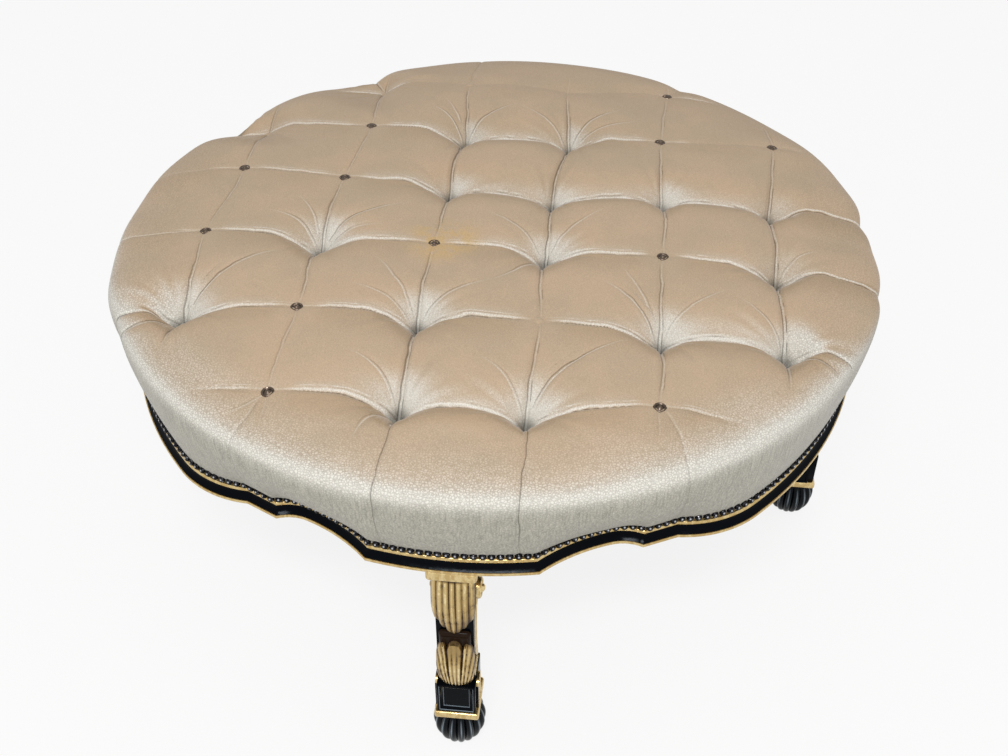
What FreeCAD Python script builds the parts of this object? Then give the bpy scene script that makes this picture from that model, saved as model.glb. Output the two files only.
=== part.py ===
import FreeCAD, Part
import math
import os

from FreeCAD import Vector

# A large round tufted ottoman on four carved scroll legs. Millimetres, +Z up.
# The origin is on the floor under the middle of the seat, and the front is towards -Y.

# Height of each part of a leg, from the floor up
FOOT_HEIGHT = 57.0
BAND_HEIGHT = 11.0
BLOCK_HEIGHT = 52.0
SHAFT_HEIGHT = 196.0
CAP_HEIGHT = 15.0

# Frame moulding, from its underside up, and how far each part stands in from the outline
FILLET_HEIGHT = 4.0
COVE_HEIGHT = 8.5
BEAD_HEIGHT = 6.0
MOULDING_DEPTH = 14.5
COVE_FOOT_INSET = 1.5
COVE_SAG = 1.6
COVE_STEP_COUNT = 2
BEAD_INSET = 8.0
BEAD_BULGE = 1.8
BEAD_STEP_COUNT = 2

# Plan outline of the frame: four mirrored quarters, each from the middle of the front or back
# round to the middle of a side. Spans are degrees seen from the centre.
FRAME_RADIUS = 472.5
FRONT_SPAN = 11.7
HOLLOW_SPAN = 14.9
HOLLOW_SETBACK = 26.4
HOLLOW_CURVE = ((0.35, 0.76), (0.725, 1), (0.88, 0.85))
NOSE_SETBACK = 11.5
FLAT_SPAN = 5.3
NOTCH_SETBACK = 9.5
SWELL_SPAN = 12.1
SWELL_PROUD = 12.0
SWELL_MIDDLE_PROUD = 9.0
SIDE_PROUD = 0.5
OUTLINE_CHORD = 45.0

# Seat cushion: cover and stuffing
COVER_INSET = 11.0
COVER_SIDE_HEIGHT = 93.5
SEAT_OVERHANG = 17.5
CROWN_RISE = 44.0
CROWN_FULLNESS = 3.1
CROWN_EDGE_SHARE = 0.985
SIDE_LEVELS = ((0, 0), (0.3, 0.5), (0.65, 0.86), (1, 1))
RIM_ROLL_WIDTH = 55.0
RIM_ROLL_DROP = 6.0
RIM_ROLL_STEP_COUNT = 3
CROWN_CLEARANCE = 10.0

# Tufting
TUFT_PITCH = 142.0
DEEP_TUFT = 42.0
SHALLOW_TUFT = 7.0
FOLD_DEPTH = 7.0
FOLD_CREST_DEPTH = 4.0
PUFF_RISE = 3.0
TUFT_SHARPNESS = 2.4
PUFF_SECTION_COUNT = 4
BUTTON_RADIUS = 8.0
BUTTON_HEIGHT = 4.0
BUTTON_FACE_RADIUS = 5.0
BUTTON_SIDE_COUNT = 8
BUTTON_CLEARANCE = 1.0

# Seat rails and what they hold
RAIL_HEIGHT = 62.0
RAIL_WIDTH = 40.0
RAIL_FLAT_COUNT = 32
REBATE_DEPTH = 4.0
REBATE_WIDTH = 24.0
GLUE_BLOCK_SIZE = 46.0
GLUE_BLOCK_HEIGHT = 50.0
DOWEL_RADIUS = 5.0
DOWEL_LENGTH = 64.0
DOWEL_SPACING = 30.0
DOWEL_PLACE = 0.6
ROD_SIDE_COUNT = 10
DOWEL_END_CLEARANCE = 0.3
HESSIAN_THICKNESS = 1.5
DUST_COVER_THICKNESS = 1.0
STRAP_WIDTH = 50.0
STRAP_THICKNESS = 1.5
STRAP_COUNT = 7
SPRING_RADIUS = 42.0
SPRING_WAIST = 27.0
SPRING_WIRE = 3.6
SPRING_TURN_COUNT = 3
SPRING_STEP_COUNT = 8
SPRING_CLEARANCE = 24.0
SPRING_ROW_COUNT = 3

# Legs, seen from the foot's centre: widths across the leg, fronts towards the outside
LEG_SETBACK = 30.5
LEG_BOLT_RADIUS = 4.0
LEG_BOLT_HEAD_RADIUS = 8.0
LEG_BOLT_HEAD_HEIGHT = 6.0
LEG_BOLT_LENGTH = 106.0
LEG_BOLT_SPACING = 18.0
LEG_BOLT_SET_OUT = 2.0
BOLT_CLEARANCE = 0.3
FOOT_RADIUS = 33.0
FOOT_PAD_RADIUS = 21.0
FOOT_NECK_RADIUS = 22.0
FOOT_LOBE_COUNT = 16
FOOT_LOBE_DEPTH = 3.2
FOOT_LOBE_FLAT = 0.4
FOOT_LEVEL_COUNT = 4
FOOT_ROUNDNESS = 0.7
BAND_WIDTH = 55.0
BAND_FRONT = 28.0
BAND_BACK = 31.0
BAND_BULGE = 2.0
SLAB_STEP_COUNT = 4
BLOCK_WIDTH = 47.0
BLOCK_FRONT = 25.0
BLOCK_BACK = 28.0
PANEL_WIDTH = 28.0
PANEL_HEIGHT = 25.0
PANEL_DEPTH = 3.0
PANEL_BEVEL = 7.0
CHEEK_THICKNESS = 3.0
CHEEK_DEPTH = 24.0
CHEEK_CHAMFER = 5.0
CHEEK_FRONT = 16.0
CHEEK_SETDOWN = 3.0
SCROLL_WIDTH = 44.0
SCROLL_FRONT = 14.0
SCROLL_HEEL_SETBACK = 4.0
SCROLL_WAIST_BACK = 14.0
SCROLL_KNOT_BACK = 26.0
SCROLL_KNOT = 7.0
SCROLL_ROLL = 13.0
SCROLL_REACH = 64.0
SCROLL_WAIST_SHARE = 0.3
SCROLL_KNOT_SHARE = 0.55
SCROLL_THROAT_SHARE = 0.66
SCROLL_THROAT_SAG = 2.1
KNEE_HALF_HEIGHT = 13.0
KNEE_PROUD = 6.0
KNEE_WIDTH = 34.0
VOLUTE_RADIUS = 14.0
VOLUTE_PROUD = 10.0
VOLUTE_BACK = 16.0
VOLUTE_DROP = 58.0
VOLUTE_SIDE_COUNT = 10
VOLUTE_LEVELS = ((1, 0), (1, 0.45), (0.6, 0.7), (0.4, 0.45), (0.2, 1))
LEAF_OVERHANG = 3.0
LEAF_THICKNESS = 12.0
LEAF_VEIN_COUNT = 7
LEAF_HOLLOW = 0.16
LEAF_CURL = 4.0
UPPER_LEAF_BELLY = 4.0
LEAF_TUCK = 8.0
LEAF_ROUNDNESS = 0.5
UPPER_LEAF_HEIGHT = 100.0
LOWER_LEAF_HEIGHT = 82.0
CAP_WIDTH = 57.0
CAP_FRONT = 30.0
CAP_BACK = 64.0
CAP_BULGE = 2.5

# Heights that follow from the sizes above
Z_BAND = FOOT_HEIGHT
Z_BLOCK = Z_BAND + BAND_HEIGHT
Z_SHAFT = Z_BLOCK + BLOCK_HEIGHT
Z_CAP = Z_SHAFT + SHAFT_HEIGHT
Z_FRAME = Z_CAP + CAP_HEIGHT
Z_COVE = Z_FRAME + FILLET_HEIGHT
Z_BEAD = Z_COVE + COVE_HEIGHT
Z_COVER = Z_BEAD + BEAD_HEIGHT
Z_WIDEST = Z_COVER + COVER_SIDE_HEIGHT
Z_RAIL_TOP = Z_FRAME + RAIL_HEIGHT
Z_REBATE = Z_FRAME + REBATE_DEPTH
Z_STRAPS = Z_FRAME + DUST_COVER_THICKNESS
Z_SPRINGS = Z_STRAPS + 2 * STRAP_THICKNESS

# Widths and radii that follow from the sizes above
LEAF_WIDTH = BLOCK_WIDTH + 2 * LEAF_OVERHANG
SEAT_RADIUS = FRAME_RADIUS + SEAT_OVERHANG
RAIL_INNER_RADIUS = FRAME_RADIUS - HOLLOW_SETBACK - MOULDING_DEPTH - RAIL_WIDTH
REBATE_RADIUS = RAIL_INNER_RADIUS + REBATE_WIDTH
STRAP_PITCH = 2 * REBATE_RADIUS / (STRAP_COUNT + 1)
GLUE_BLOCK_REACH = RAIL_INNER_RADIUS - GLUE_BLOCK_SIZE / math.sqrt(2)
SPRING_REACH = GLUE_BLOCK_REACH - SPRING_CLEARANCE - SPRING_RADIUS - SPRING_WIRE / 2
SPRING_PITCH = math.sqrt(2) * SPRING_REACH / (SPRING_ROW_COUNT - 1)
FRONT_LEG_RADIUS = FRAME_RADIUS - LEG_SETBACK
SIDE_LEG_RADIUS = FRAME_RADIUS + SIDE_PROUD - LEG_SETBACK

# One row of the tufting per string, front row first: D deep, B bare metal, C fabric covered
TUFTS = (
    ".BDDB.",
    "DBDCDD",
    "BDBDBD",
    "BBDDDD",
    "DBDDBB",
    ".DC.B.",
)
LEGS = (
    ("front", 0, FRONT_LEG_RADIUS),
    ("right", 90, SIDE_LEG_RADIUS),
    ("back", 180, FRONT_LEG_RADIUS),
    ("left", 270, SIDE_LEG_RADIUS),
)

# Forms of the leaves from the cap or block: shares of height, width, belly (upper leaf only) and curl
UPPER_LEAF_FORM = ((0, 0.94, 1, 0), (0.25, 1, 1, 0.3), (0.52, 1, 1, 0.6), (0.74, 0.86, 0.8, 0.7),
                   (0.9, 0.52, 0.5, 0.7), (1, 0.16, 0.3, 1))
LOWER_LEAF_FORM = ((0, 0.72, 0), (0.25, 0.86, 0.1), (0.5, 0.88, 0.4), (0.8, 0.85, 0.6), (1, 0.8, 1))
LOBE_NOTCH = ((0.17, 1.01), (0.2, 0.84), (0.28, 0.93), (0.6, 0.9), (0.6, 1.01))

UP = Vector(0, 0, 1)
ORIGIN = Vector(0, 0, 0)
HALF_QUARTER = 45
STRAIGHT_WITHIN = 1e-6


def polar(radius, degrees):
    """A point on the floor plan: 0 degrees is the front, and it turns towards the right."""
    turn = math.radians(degrees)
    return Vector(radius * math.sin(turn), -radius * math.cos(turn), 0)


def save(name, shape):
    """Write one sub-part to its own file."""
    shape.exportStep(f"parts/{name}.step")


def halves(corners):
    """A twisted quad as two triangles that meet on its shorter diagonal."""
    a, b, c, d = corners
    if (a - c).Length > (b - d).Length:
        a, b, c, d = b, c, d, a
    return [(a, b, c), (a, c, d)]


def ruled(sections):
    """A loft through polygons with true flat faces, its twisted ones split in two."""
    faces = []
    for face in Part.makeLoft(sections, True, True).Faces:
        corners = [vertex.Point for vertex in face.OuterWire.OrderedVertexes]
        rings = [corners] if face.findPlane() else halves(corners)
        for ring in rings:
            faces.append(Part.Face(Part.makePolygon([*ring, ring[0]])))
    shell = Part.Shell(faces)
    shell.sewShape()
    return Part.Solid(shell)


def round_wire(radius, sides, z):
    """A regular polygon about the Z axis, a corner towards the front."""
    return Part.makePolygon([polar(radius, 360 * i / sides) + UP * z for i in range(sides + 1)])


def turned(levels, sides):
    """A solid with flat sides through (radius, height) levels about the Z axis."""
    return ruled([round_wire(radius, sides, z) for radius, z in levels])


def rod(radius, length, start, along):
    """A straight rod with flat sides from a point, in any direction."""
    piece = turned([(radius, 0), (radius, length)], ROD_SIDE_COUNT)
    if along.z == 0:
        piece.rotate(ORIGIN, UP.cross(along), 90)
    piece.translate(start)
    return piece


# The frame's outline

def quarter_outline():
    """Start, middle and end of each piece from the middle of the front to the side's shoulder."""
    turn = FRONT_SPAN
    corner = polar(FRAME_RADIUS, turn)
    bend, deepest, rise = [polar(FRAME_RADIUS - HOLLOW_SETBACK * depth, turn + HOLLOW_SPAN * share)
                           for share, depth in HOLLOW_CURVE]
    nose = polar(FRAME_RADIUS - NOSE_SETBACK, turn + HOLLOW_SPAN)
    turn += HOLLOW_SPAN + FLAT_SPAN
    notch = polar(FRAME_RADIUS - NOTCH_SETBACK, turn)
    swell = polar(FRAME_RADIUS + SWELL_MIDDLE_PROUD, turn + SWELL_SPAN / 2)
    shoulder = polar(FRAME_RADIUS + SWELL_PROUD, turn + SWELL_SPAN)
    return [
        (corner, bend, deepest),
        (deepest, rise, nose),
        (nose, (nose + notch) / 2, notch),
        (notch, swell, shoulder),
    ]


def mirrored(pieces, across, along):
    """The same pieces mirrored, still running anticlockwise round the frame."""
    flip = [tuple(Vector(p.x * across, p.y * along, p.z) for p in piece) for piece in pieces]
    if across * along > 0:
        return flip
    return [piece[::-1] for piece in flip[::-1]]


def outline():
    """All pieces of the outline, anticlockwise from the front."""
    quarter = quarter_outline()
    right_front = quarter
    right_back = mirrored(quarter, 1, -1)
    left_back = mirrored(quarter, -1, -1)
    left_front = mirrored(quarter, -1, 1)
    side = Vector(FRAME_RADIUS + SIDE_PROUD, 0, 0)
    front = Vector(0, -FRAME_RADIUS, 0)
    return [
        (left_front[-1][2], front, right_front[0][0]),
        *right_front,
        (right_front[-1][2], side, right_back[0][0]),
        *right_back,
        (right_back[-1][2], front * -1, left_back[0][0]),
        *left_back,
        (left_back[-1][2], side * -1, left_front[0][0]),
        *left_front,
    ]


def circle_of(start, middle, end):
    """The circle through three points."""
    return Part.Arc(start, middle, end).toShape().Curve


def is_straight(piece):
    """True where the piece's middle lies on its chord."""
    start, middle, end = piece
    return (end - start).cross(middle - start).Length < STRAIGHT_WITHIN


def inward(piece, point):
    """The unit normal of the piece at a point, towards the middle of the seat."""
    if is_straight(piece):
        normal = (piece[2] - piece[0]).cross(UP)
    else:
        normal = point - circle_of(*piece).Center
    normal.normalize()
    return normal * -1 if normal.dot(point) > 0 else normal


def inset_outline(inset):
    """The outline moved inwards, with its corners on the bisectors of the old ones."""
    pieces = outline()
    corners = []
    for before, after in zip(pieces[-1:] + pieces[:-1], pieces):
        corner = after[0]
        one = inward(before, corner)
        two = inward(after, corner)
        corners.append(corner + (one + two) * (inset / (1 + one.dot(two))))
    moved = []
    for i, piece in enumerate(pieces):
        middle = piece[1] + inward(piece, piece[1]) * inset
        start, end = corners[i], corners[(i + 1) % len(corners)]
        if is_straight(piece):
            middle = (start + end) / 2
        moved.append((start, middle, end))
    return moved


def outline_edge(piece):
    """A piece as a straight edge or an arc."""
    start, middle, end = piece
    curve = Part.LineSegment(start, end) if is_straight(piece) else Part.Arc(start, middle, end)
    return curve.toShape()


def outline_points(inset):
    """Points round the outline moved inwards, as many at every inset."""
    points = []
    for piece, moved in zip(outline(), inset_outline(inset)):
        chords = 1 if is_straight(piece) else max(2, round(outline_edge(piece).Length / OUTLINE_CHORD))
        points += outline_edge(moved).discretize(chords + 1)[:-1]
    return points


def level_ring(points, z):
    """A closed polygon through points of the plan at one height."""
    lifted = [Vector(point.x, point.y, z) for point in points]
    return Part.makePolygon([*lifted, lifted[0]])


def outline_solid(levels):
    """A ruled solid through the outline at each (inset, height)."""
    return ruled([level_ring(outline_points(inset), z) for inset, z in levels])


def outline_ring(levels):
    """A moulding: the same, with the middle taken out down to the seat rails' face."""
    core = outline_solid([(MOULDING_DEPTH, levels[0][1]), (MOULDING_DEPTH, levels[-1][1])])
    return outline_solid(levels).cut(core)


def disc(radius, z, height):
    """A level round solid about the middle of the seat, its edge in short flats."""
    return turned([(radius, z), (radius, z + height)], RAIL_FLAT_COUNT)


# Mouldings

def gilt_fillet():
    """The square gilt edge under the cove."""
    return outline_ring([(0, Z_FRAME), (0, Z_COVE)])


def ebonised_cove():
    """The black moulding, hollowed between the fillet and the bead."""
    levels = []
    for step in range(COVE_STEP_COUNT + 1):
        share = step / COVE_STEP_COUNT
        sag = COVE_SAG * math.sin(math.pi * share)
        inset = COVE_FOOT_INSET + (BEAD_INSET - COVE_FOOT_INSET) * share + sag
        levels.append((inset, Z_COVE + COVE_HEIGHT * share))
    return outline_ring(levels)


def gilt_bead():
    """The gilt bead that the cover comes down to."""
    levels = []
    for step in range(BEAD_STEP_COUNT + 1):
        share = step / BEAD_STEP_COUNT
        inset = BEAD_INSET - BEAD_BULGE * math.sin(math.pi * share)
        levels.append((inset, Z_BEAD + BEAD_HEIGHT * share))
    return outline_ring(levels)


# Seat cushion

def crown_height(x, y):
    """Height of the plain crown, flat in the middle and rolling over towards the rim."""
    share = min(math.hypot(x, y) / SEAT_RADIUS, CROWN_EDGE_SHARE)
    return Z_WIDEST + CROWN_RISE * (1 - share ** CROWN_FULLNESS) ** (1 / CROWN_FULLNESS)


def seat_body():
    """The seat without its tufts: drawn in to the frame's shape below, rolled over at the rim."""
    edge = outline_points(COVER_INSET)
    rim = [Vector(point).normalize() * SEAT_RADIUS for point in edge]
    rings = []
    for height_share, round_share in SIDE_LEVELS:
        blend = [low * (1 - round_share) + high * round_share for low, high in zip(edge, rim)]
        rings.append(level_ring(blend, Z_COVER + COVER_SIDE_HEIGHT * height_share))
    for step in range(1, RIM_ROLL_STEP_COUNT + 1):
        turn = math.radians(90 * step / RIM_ROLL_STEP_COUNT)
        shrink = 1 - RIM_ROLL_WIDTH / SEAT_RADIUS * (1 - math.cos(turn))
        rise = (CROWN_RISE - RIM_ROLL_DROP) * math.sin(turn)
        rings.append(level_ring([point * shrink for point in rim], Z_WIDEST + rise))
    inner = 1 - (RIM_ROLL_WIDTH + CROWN_CLEARANCE) / SEAT_RADIUS
    top = Z_WIDEST + CROWN_RISE + PUFF_RISE + CROWN_CLEARANCE
    rings.append(level_ring([point * inner for point in rim], top))
    return ruled(rings)


def tuft_line(index):
    """Distance of a row or column of tufts from the middle of the seat."""
    return (index - (len(TUFTS) - 1) / 2) * TUFT_PITCH


def tuft_depth(column, row):
    """How far a tuft is drawn down; the plain folds meet where there is none."""
    inside = 0 <= column < len(TUFTS) and 0 <= row < len(TUFTS)
    letter = TUFTS[row][column] if inside else "."
    return {"D": DEEP_TUFT, "B": SHALLOW_TUFT, "C": SHALLOW_TUFT, ".": FOLD_DEPTH}[letter]


def fold_depth(x, row):
    """Depth of the fold along a row of tufts: a rounded ridge from each tuft to the next."""
    place = x / TUFT_PITCH + (len(TUFTS) - 1) / 2
    nearest = round(place)
    slope = 1 - 2 * abs(place - nearest)
    return FOLD_CREST_DEPTH + (tuft_depth(nearest, row) - FOLD_CREST_DEPTH) * slope ** TUFT_SHARPNESS


def puff_rise(x):
    """Height of a puff's middle over the plain crown, down to the fold at each column of tufts."""
    place = x / TUFT_PITCH + (len(TUFTS) - 1) / 2
    share = abs(place - round(place)) * 2
    return (PUFF_RISE + FOLD_CREST_DEPTH) * math.sin(share * math.pi / 2) - FOLD_CREST_DEPTH


def tufted_section(x):
    """One upright section of the tufted top: a curve over each puff from fold to fold."""
    rows = range(len(TUFTS))
    reach = tuft_line(len(TUFTS))
    folds = [Vector(x, -reach, crown_height(x, reach) - FOLD_DEPTH)]
    for row in rows:
        y = tuft_line(row)
        folds.append(Vector(x, y, crown_height(x, y) - fold_depth(x, row)))
    folds.append(Vector(x, reach, crown_height(x, reach) - FOLD_DEPTH))
    points = [folds[0]]
    for start, end in zip(folds, folds[1:]):
        y = (start.y + end.y) / 2
        crest = crown_height(x, y) + puff_rise(x)
        for step in range(1, PUFF_SECTION_COUNT):
            share = 2 * step / PUFF_SECTION_COUNT - 1
            fold = start if share < 0 else end
            drop = (crest - fold.z) * abs(share) ** TUFT_SHARPNESS
            points.append(Vector(x, y + share * TUFT_PITCH / 2, crest - drop))
        points.append(end)
    base = [Vector(x, side * reach, Z_COVER) for side in (1, -1)]
    return Part.makePolygon([*points, *base, points[0]])


def tufted_slab():
    """The puffed and folded top as a loft through upright sections, wider than the seat."""
    steps = PUFF_SECTION_COUNT * (len(TUFTS) + 1)
    pitch = TUFT_PITCH / PUFF_SECTION_COUNT
    stations = [(i - steps / 2) * pitch for i in range(steps + 1)]
    return ruled([tufted_section(x) for x in stations])


def button_places(kinds):
    """Where each button of the kinds asked for rests."""
    places = []
    for row, letters in enumerate(TUFTS):
        for column, letter in enumerate(letters):
            if letter in kinds:
                x, y = tuft_line(column), tuft_line(row)
                places.append(Vector(x, y, crown_height(x, y) - tuft_depth(column, row)))
    return places


def cushion():
    """The stuffed seat: body and tufting together, hollow over the rails, with room for the buttons."""
    pocket = [(MOULDING_DEPTH, Z_COVER - 1), (MOULDING_DEPTH, Z_RAIL_TOP + HESSIAN_THICKNESS)]
    seat = turned([(BUTTON_RADIUS + BUTTON_CLEARANCE, 0), (BUTTON_RADIUS + BUTTON_CLEARANCE, DEEP_TUFT)],
                  BUTTON_SIDE_COUNT)
    seats = []
    for place in button_places("DBC"):
        hole = seat.copy()
        hole.translate(place)
        seats.append(hole)
    return seat_body().common(tufted_slab()).cut([outline_solid(pocket), *seats])


def buttons(kinds):
    """A group of buttons, each with a bevelled face, resting on its tuft's floor."""
    button = turned([(BUTTON_RADIUS, 0), (BUTTON_FACE_RADIUS, BUTTON_HEIGHT)], BUTTON_SIDE_COUNT)
    group = []
    for place in button_places(kinds):
        copy = button.copy()
        copy.translate(place)
        group.append(copy)
    return Part.makeCompound(group)


# Seat rails, joints and webbing

def quarter_wedge(degrees):
    """A tall wedge over the quarter of the plan about one direction."""
    reach = 2 * SEAT_RADIUS
    corners = [ORIGIN, polar(reach, degrees - HALF_QUARTER), polar(reach, degrees + HALF_QUARTER), ORIGIN]
    return Part.Face(Part.makePolygon(corners)).extrude(UP * Z_WIDEST)


def joint_frames():
    """Directions of the four joints between the rails, each half way from a leg to the next."""
    return [degrees + HALF_QUARTER for _, degrees, _ in LEGS]


def dowels(clearance):
    """Two dowels across each rail joint, side by side and level."""
    middle = RAIL_INNER_RADIUS + RAIL_WIDTH * DOWEL_PLACE
    group = []
    for degrees in joint_frames():
        across = polar(1, degrees + 90)
        for side in (-1, 1):
            place = polar(middle, degrees) + UP * (Z_FRAME + RAIL_HEIGHT / 2 + side * DOWEL_SPACING / 2)
            half = across * (DOWEL_LENGTH / 2 + clearance)
            group.append(rod(DOWEL_RADIUS + clearance, 2 * half.Length, place - half, across))
    return Part.makeCompound(group)


def leg_bolts(clearance):
    """Two bolts into each leg, their heads sunk level with the top of the rail."""
    head_z = Z_RAIL_TOP - LEG_BOLT_HEAD_HEIGHT
    shank_length = LEG_BOLT_LENGTH - LEG_BOLT_HEAD_HEIGHT + clearance
    group = []
    for _, degrees, radius in LEGS:
        for step in (0, 1):
            place = polar(radius + LEG_BOLT_SET_OUT - step * LEG_BOLT_SPACING, degrees)
            shank = rod(LEG_BOLT_RADIUS + clearance, shank_length, place + UP * (head_z - shank_length), UP)
            head = rod(LEG_BOLT_HEAD_RADIUS + clearance, LEG_BOLT_HEAD_HEIGHT, place + UP * head_z, UP)
            group.append(shank.fuse(head).removeSplitter())
    return Part.makeCompound(group)


def seat_rails():
    """Four curved rails, butted and dowelled at the corners, with a rebate for the webbing."""
    ring = outline_solid([(MOULDING_DEPTH, Z_FRAME), (MOULDING_DEPTH, Z_RAIL_TOP)])
    ring = ring.cut(disc(RAIL_INNER_RADIUS, Z_FRAME, RAIL_HEIGHT))
    ring = ring.cut(disc(REBATE_RADIUS, Z_FRAME, REBATE_DEPTH))
    holes = [*dowels(DOWEL_END_CLEARANCE).Solids, *leg_bolts(BOLT_CLEARANCE).Solids]
    return {name: ring.common(quarter_wedge(degrees)).cut(holes) for name, degrees, _ in LEGS}


def glue_blocks():
    """A block glued into each corner of the rails, shaped to their curved inner face."""
    inside = disc(RAIL_INNER_RADIUS, Z_FRAME, RAIL_HEIGHT)
    blocks = []
    for degrees in joint_frames():
        block = Part.makeBox(GLUE_BLOCK_SIZE, GLUE_BLOCK_SIZE, GLUE_BLOCK_HEIGHT)
        block.translate(Vector(-GLUE_BLOCK_SIZE / 2, -GLUE_BLOCK_SIZE / 2, 0))
        block.rotate(ORIGIN, UP, HALF_QUARTER)
        block.translate(Vector(0, -RAIL_INNER_RADIUS, Z_REBATE))
        block.rotate(ORIGIN, UP, degrees)
        blocks.append(block.common(inside))
    return blocks


def webbing():
    """Jute straps in two crossing layers, their ends tacked in the rails' rebate."""
    layers = []
    round_edge = disc(REBATE_RADIUS, Z_STRAPS, 2 * STRAP_THICKNESS)
    for layer in (0, 1):
        for i in range(STRAP_COUNT):
            offset = (i - (STRAP_COUNT - 1) / 2) * STRAP_PITCH
            strap = Part.makeBox(2 * REBATE_RADIUS, STRAP_WIDTH, STRAP_THICKNESS)
            strap.translate(Vector(-REBATE_RADIUS, offset - STRAP_WIDTH / 2, Z_STRAPS))
            strap.rotate(ORIGIN, UP, 90 * layer)
            strap.translate(UP * STRAP_THICKNESS * layer)
            layers.append(strap.common(round_edge))
    return Part.makeCompound(layers)


def spring():
    """One waisted coil spring of square-edged turns, standing on the webbing."""
    steps = SPRING_TURN_COUNT * SPRING_STEP_COUNT
    height = Z_RAIL_TOP - Z_SPRINGS
    climb = (height - SPRING_WIRE) / steps
    wires = []
    for i in range(steps + 1):
        share = abs(2 * i / steps - 1)
        radius = SPRING_WAIST + (SPRING_RADIUS - SPRING_WAIST) * share
        turn = 360 * i / SPRING_STEP_COUNT
        outward = polar(1, turn)
        base = outward * radius + UP * (Z_SPRINGS + climb * i)
        half = outward * (SPRING_WIRE / 2)
        rise = UP * SPRING_WIRE
        wires.append(Part.makePolygon([base - half, base + half, base + half + rise,
                                       base - half + rise, base - half]))
    return ruled(wires)


def seat_springs():
    """A square of springs, evenly spaced inside the glue blocks."""
    one = spring()
    group = []
    for row in range(SPRING_ROW_COUNT):
        for column in range(SPRING_ROW_COUNT):
            copy = one.copy()
            middle = (SPRING_ROW_COUNT - 1) / 2
            copy.translate(Vector((column - middle) * SPRING_PITCH, (row - middle) * SPRING_PITCH, 0))
            group.append(copy)
    return Part.makeCompound(group)


def spring_hessian():
    """The sacking laid over the springs and the tops of the rails."""
    return outline_solid([(MOULDING_DEPTH, Z_RAIL_TOP), (MOULDING_DEPTH, Z_RAIL_TOP + HESSIAN_THICKNESS)])


def dust_cover():
    """The cloth that closes the frame underneath."""
    return disc(REBATE_RADIUS, Z_FRAME, DUST_COVER_THICKNESS)


# Legs, each built with its foot's centre at the origin and its front towards -Y

def rectangle(half_width, front, back, z):
    """A level rectangle, its front at Y = -front and its back at Y = back."""
    corners = [(-half_width, -front), (half_width, -front), (half_width, back), (-half_width, back)]
    return Part.makePolygon([Vector(x, y, z) for x, y in [*corners, corners[0]]])


def rounded_slab(width, front, back, z, height, bulge):
    """A level slab with its four edges rounded outwards."""
    levels = []
    for step in range(SLAB_STEP_COUNT + 1):
        share = step / SLAB_STEP_COUNT
        inset = bulge * (1 - math.sin(math.pi * share))
        levels.append(rectangle(width / 2 - inset, front - inset, back - inset, z + height * share))
    return ruled(levels)


def foot():
    """A bun foot cut into gadroon lobes, flat above and below."""
    levels = []
    swell = FOOT_RADIUS - (FOOT_PAD_RADIUS + FOOT_NECK_RADIUS) / 2
    pitch = 360 / FOOT_LOBE_COUNT
    for step in range(FOOT_LEVEL_COUNT + 1):
        share = step / FOOT_LEVEL_COUNT
        ends = FOOT_PAD_RADIUS + (FOOT_NECK_RADIUS - FOOT_PAD_RADIUS) * share
        radius = ends + swell * math.sin(math.pi * share) ** FOOT_ROUNDNESS
        groove = radius * (1 - FOOT_LOBE_DEPTH / FOOT_RADIUS)
        points = []
        for lobe in range(FOOT_LOBE_COUNT):
            turn = pitch * lobe
            points.append(polar(groove, turn))
            points.append(polar(radius, turn + pitch * (1 - FOOT_LOBE_FLAT) / 2))
            points.append(polar(radius, turn + pitch * (1 + FOOT_LOBE_FLAT) / 2))
        lift = UP * (FOOT_HEIGHT * share)
        levels.append(Part.makePolygon([point + lift for point in [*points, points[0]]]))
    return ruled(levels)


def upright_rectangle(half_width, low, high, y):
    """A rectangle facing the front, at one depth."""
    corners = [(-half_width, low), (half_width, low), (half_width, high), (-half_width, high)]
    return Part.makePolygon([Vector(x, y, z) for x, z in [*corners, corners[0]]])


def block():
    """The square block over the foot, with a bevelled sunk panel in its front."""
    body = Part.makeBox(BLOCK_WIDTH, BLOCK_FRONT + BLOCK_BACK, BLOCK_HEIGHT,
                        Vector(-BLOCK_WIDTH / 2, -BLOCK_FRONT, Z_BLOCK))
    middle = Z_BLOCK + BLOCK_HEIGHT / 2
    low, high = middle - PANEL_HEIGHT / 2, middle + PANEL_HEIGHT / 2
    panel = ruled([
        upright_rectangle(PANEL_WIDTH / 2 + PANEL_BEVEL, low - PANEL_BEVEL, high + PANEL_BEVEL, -BLOCK_FRONT),
        upright_rectangle(PANEL_WIDTH / 2, low, high, -BLOCK_FRONT + PANEL_DEPTH),
    ])
    return body.cut(panel)


def cheeks():
    """A gilt side piece on each side of the block, its upper corners cut off."""
    high, cut = Z_SHAFT - CHEEK_SETDOWN, CHEEK_CHAMFER
    front, back = -CHEEK_FRONT, CHEEK_DEPTH - CHEEK_FRONT
    profile = [(front, Z_BLOCK), (front, high - cut), (front + cut, high), (back - cut, high),
               (back, high - cut), (back, Z_BLOCK), (front, Z_BLOCK)]
    face = Part.Face(Part.makePolygon([Vector(BLOCK_WIDTH / 2, y, z) for y, z in profile]))
    right = face.extrude(Vector(CHEEK_THICKNESS, 0, 0))
    return Part.makeCompound([right, right.mirror(ORIGIN, Vector(1, 0, 0))])


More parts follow.
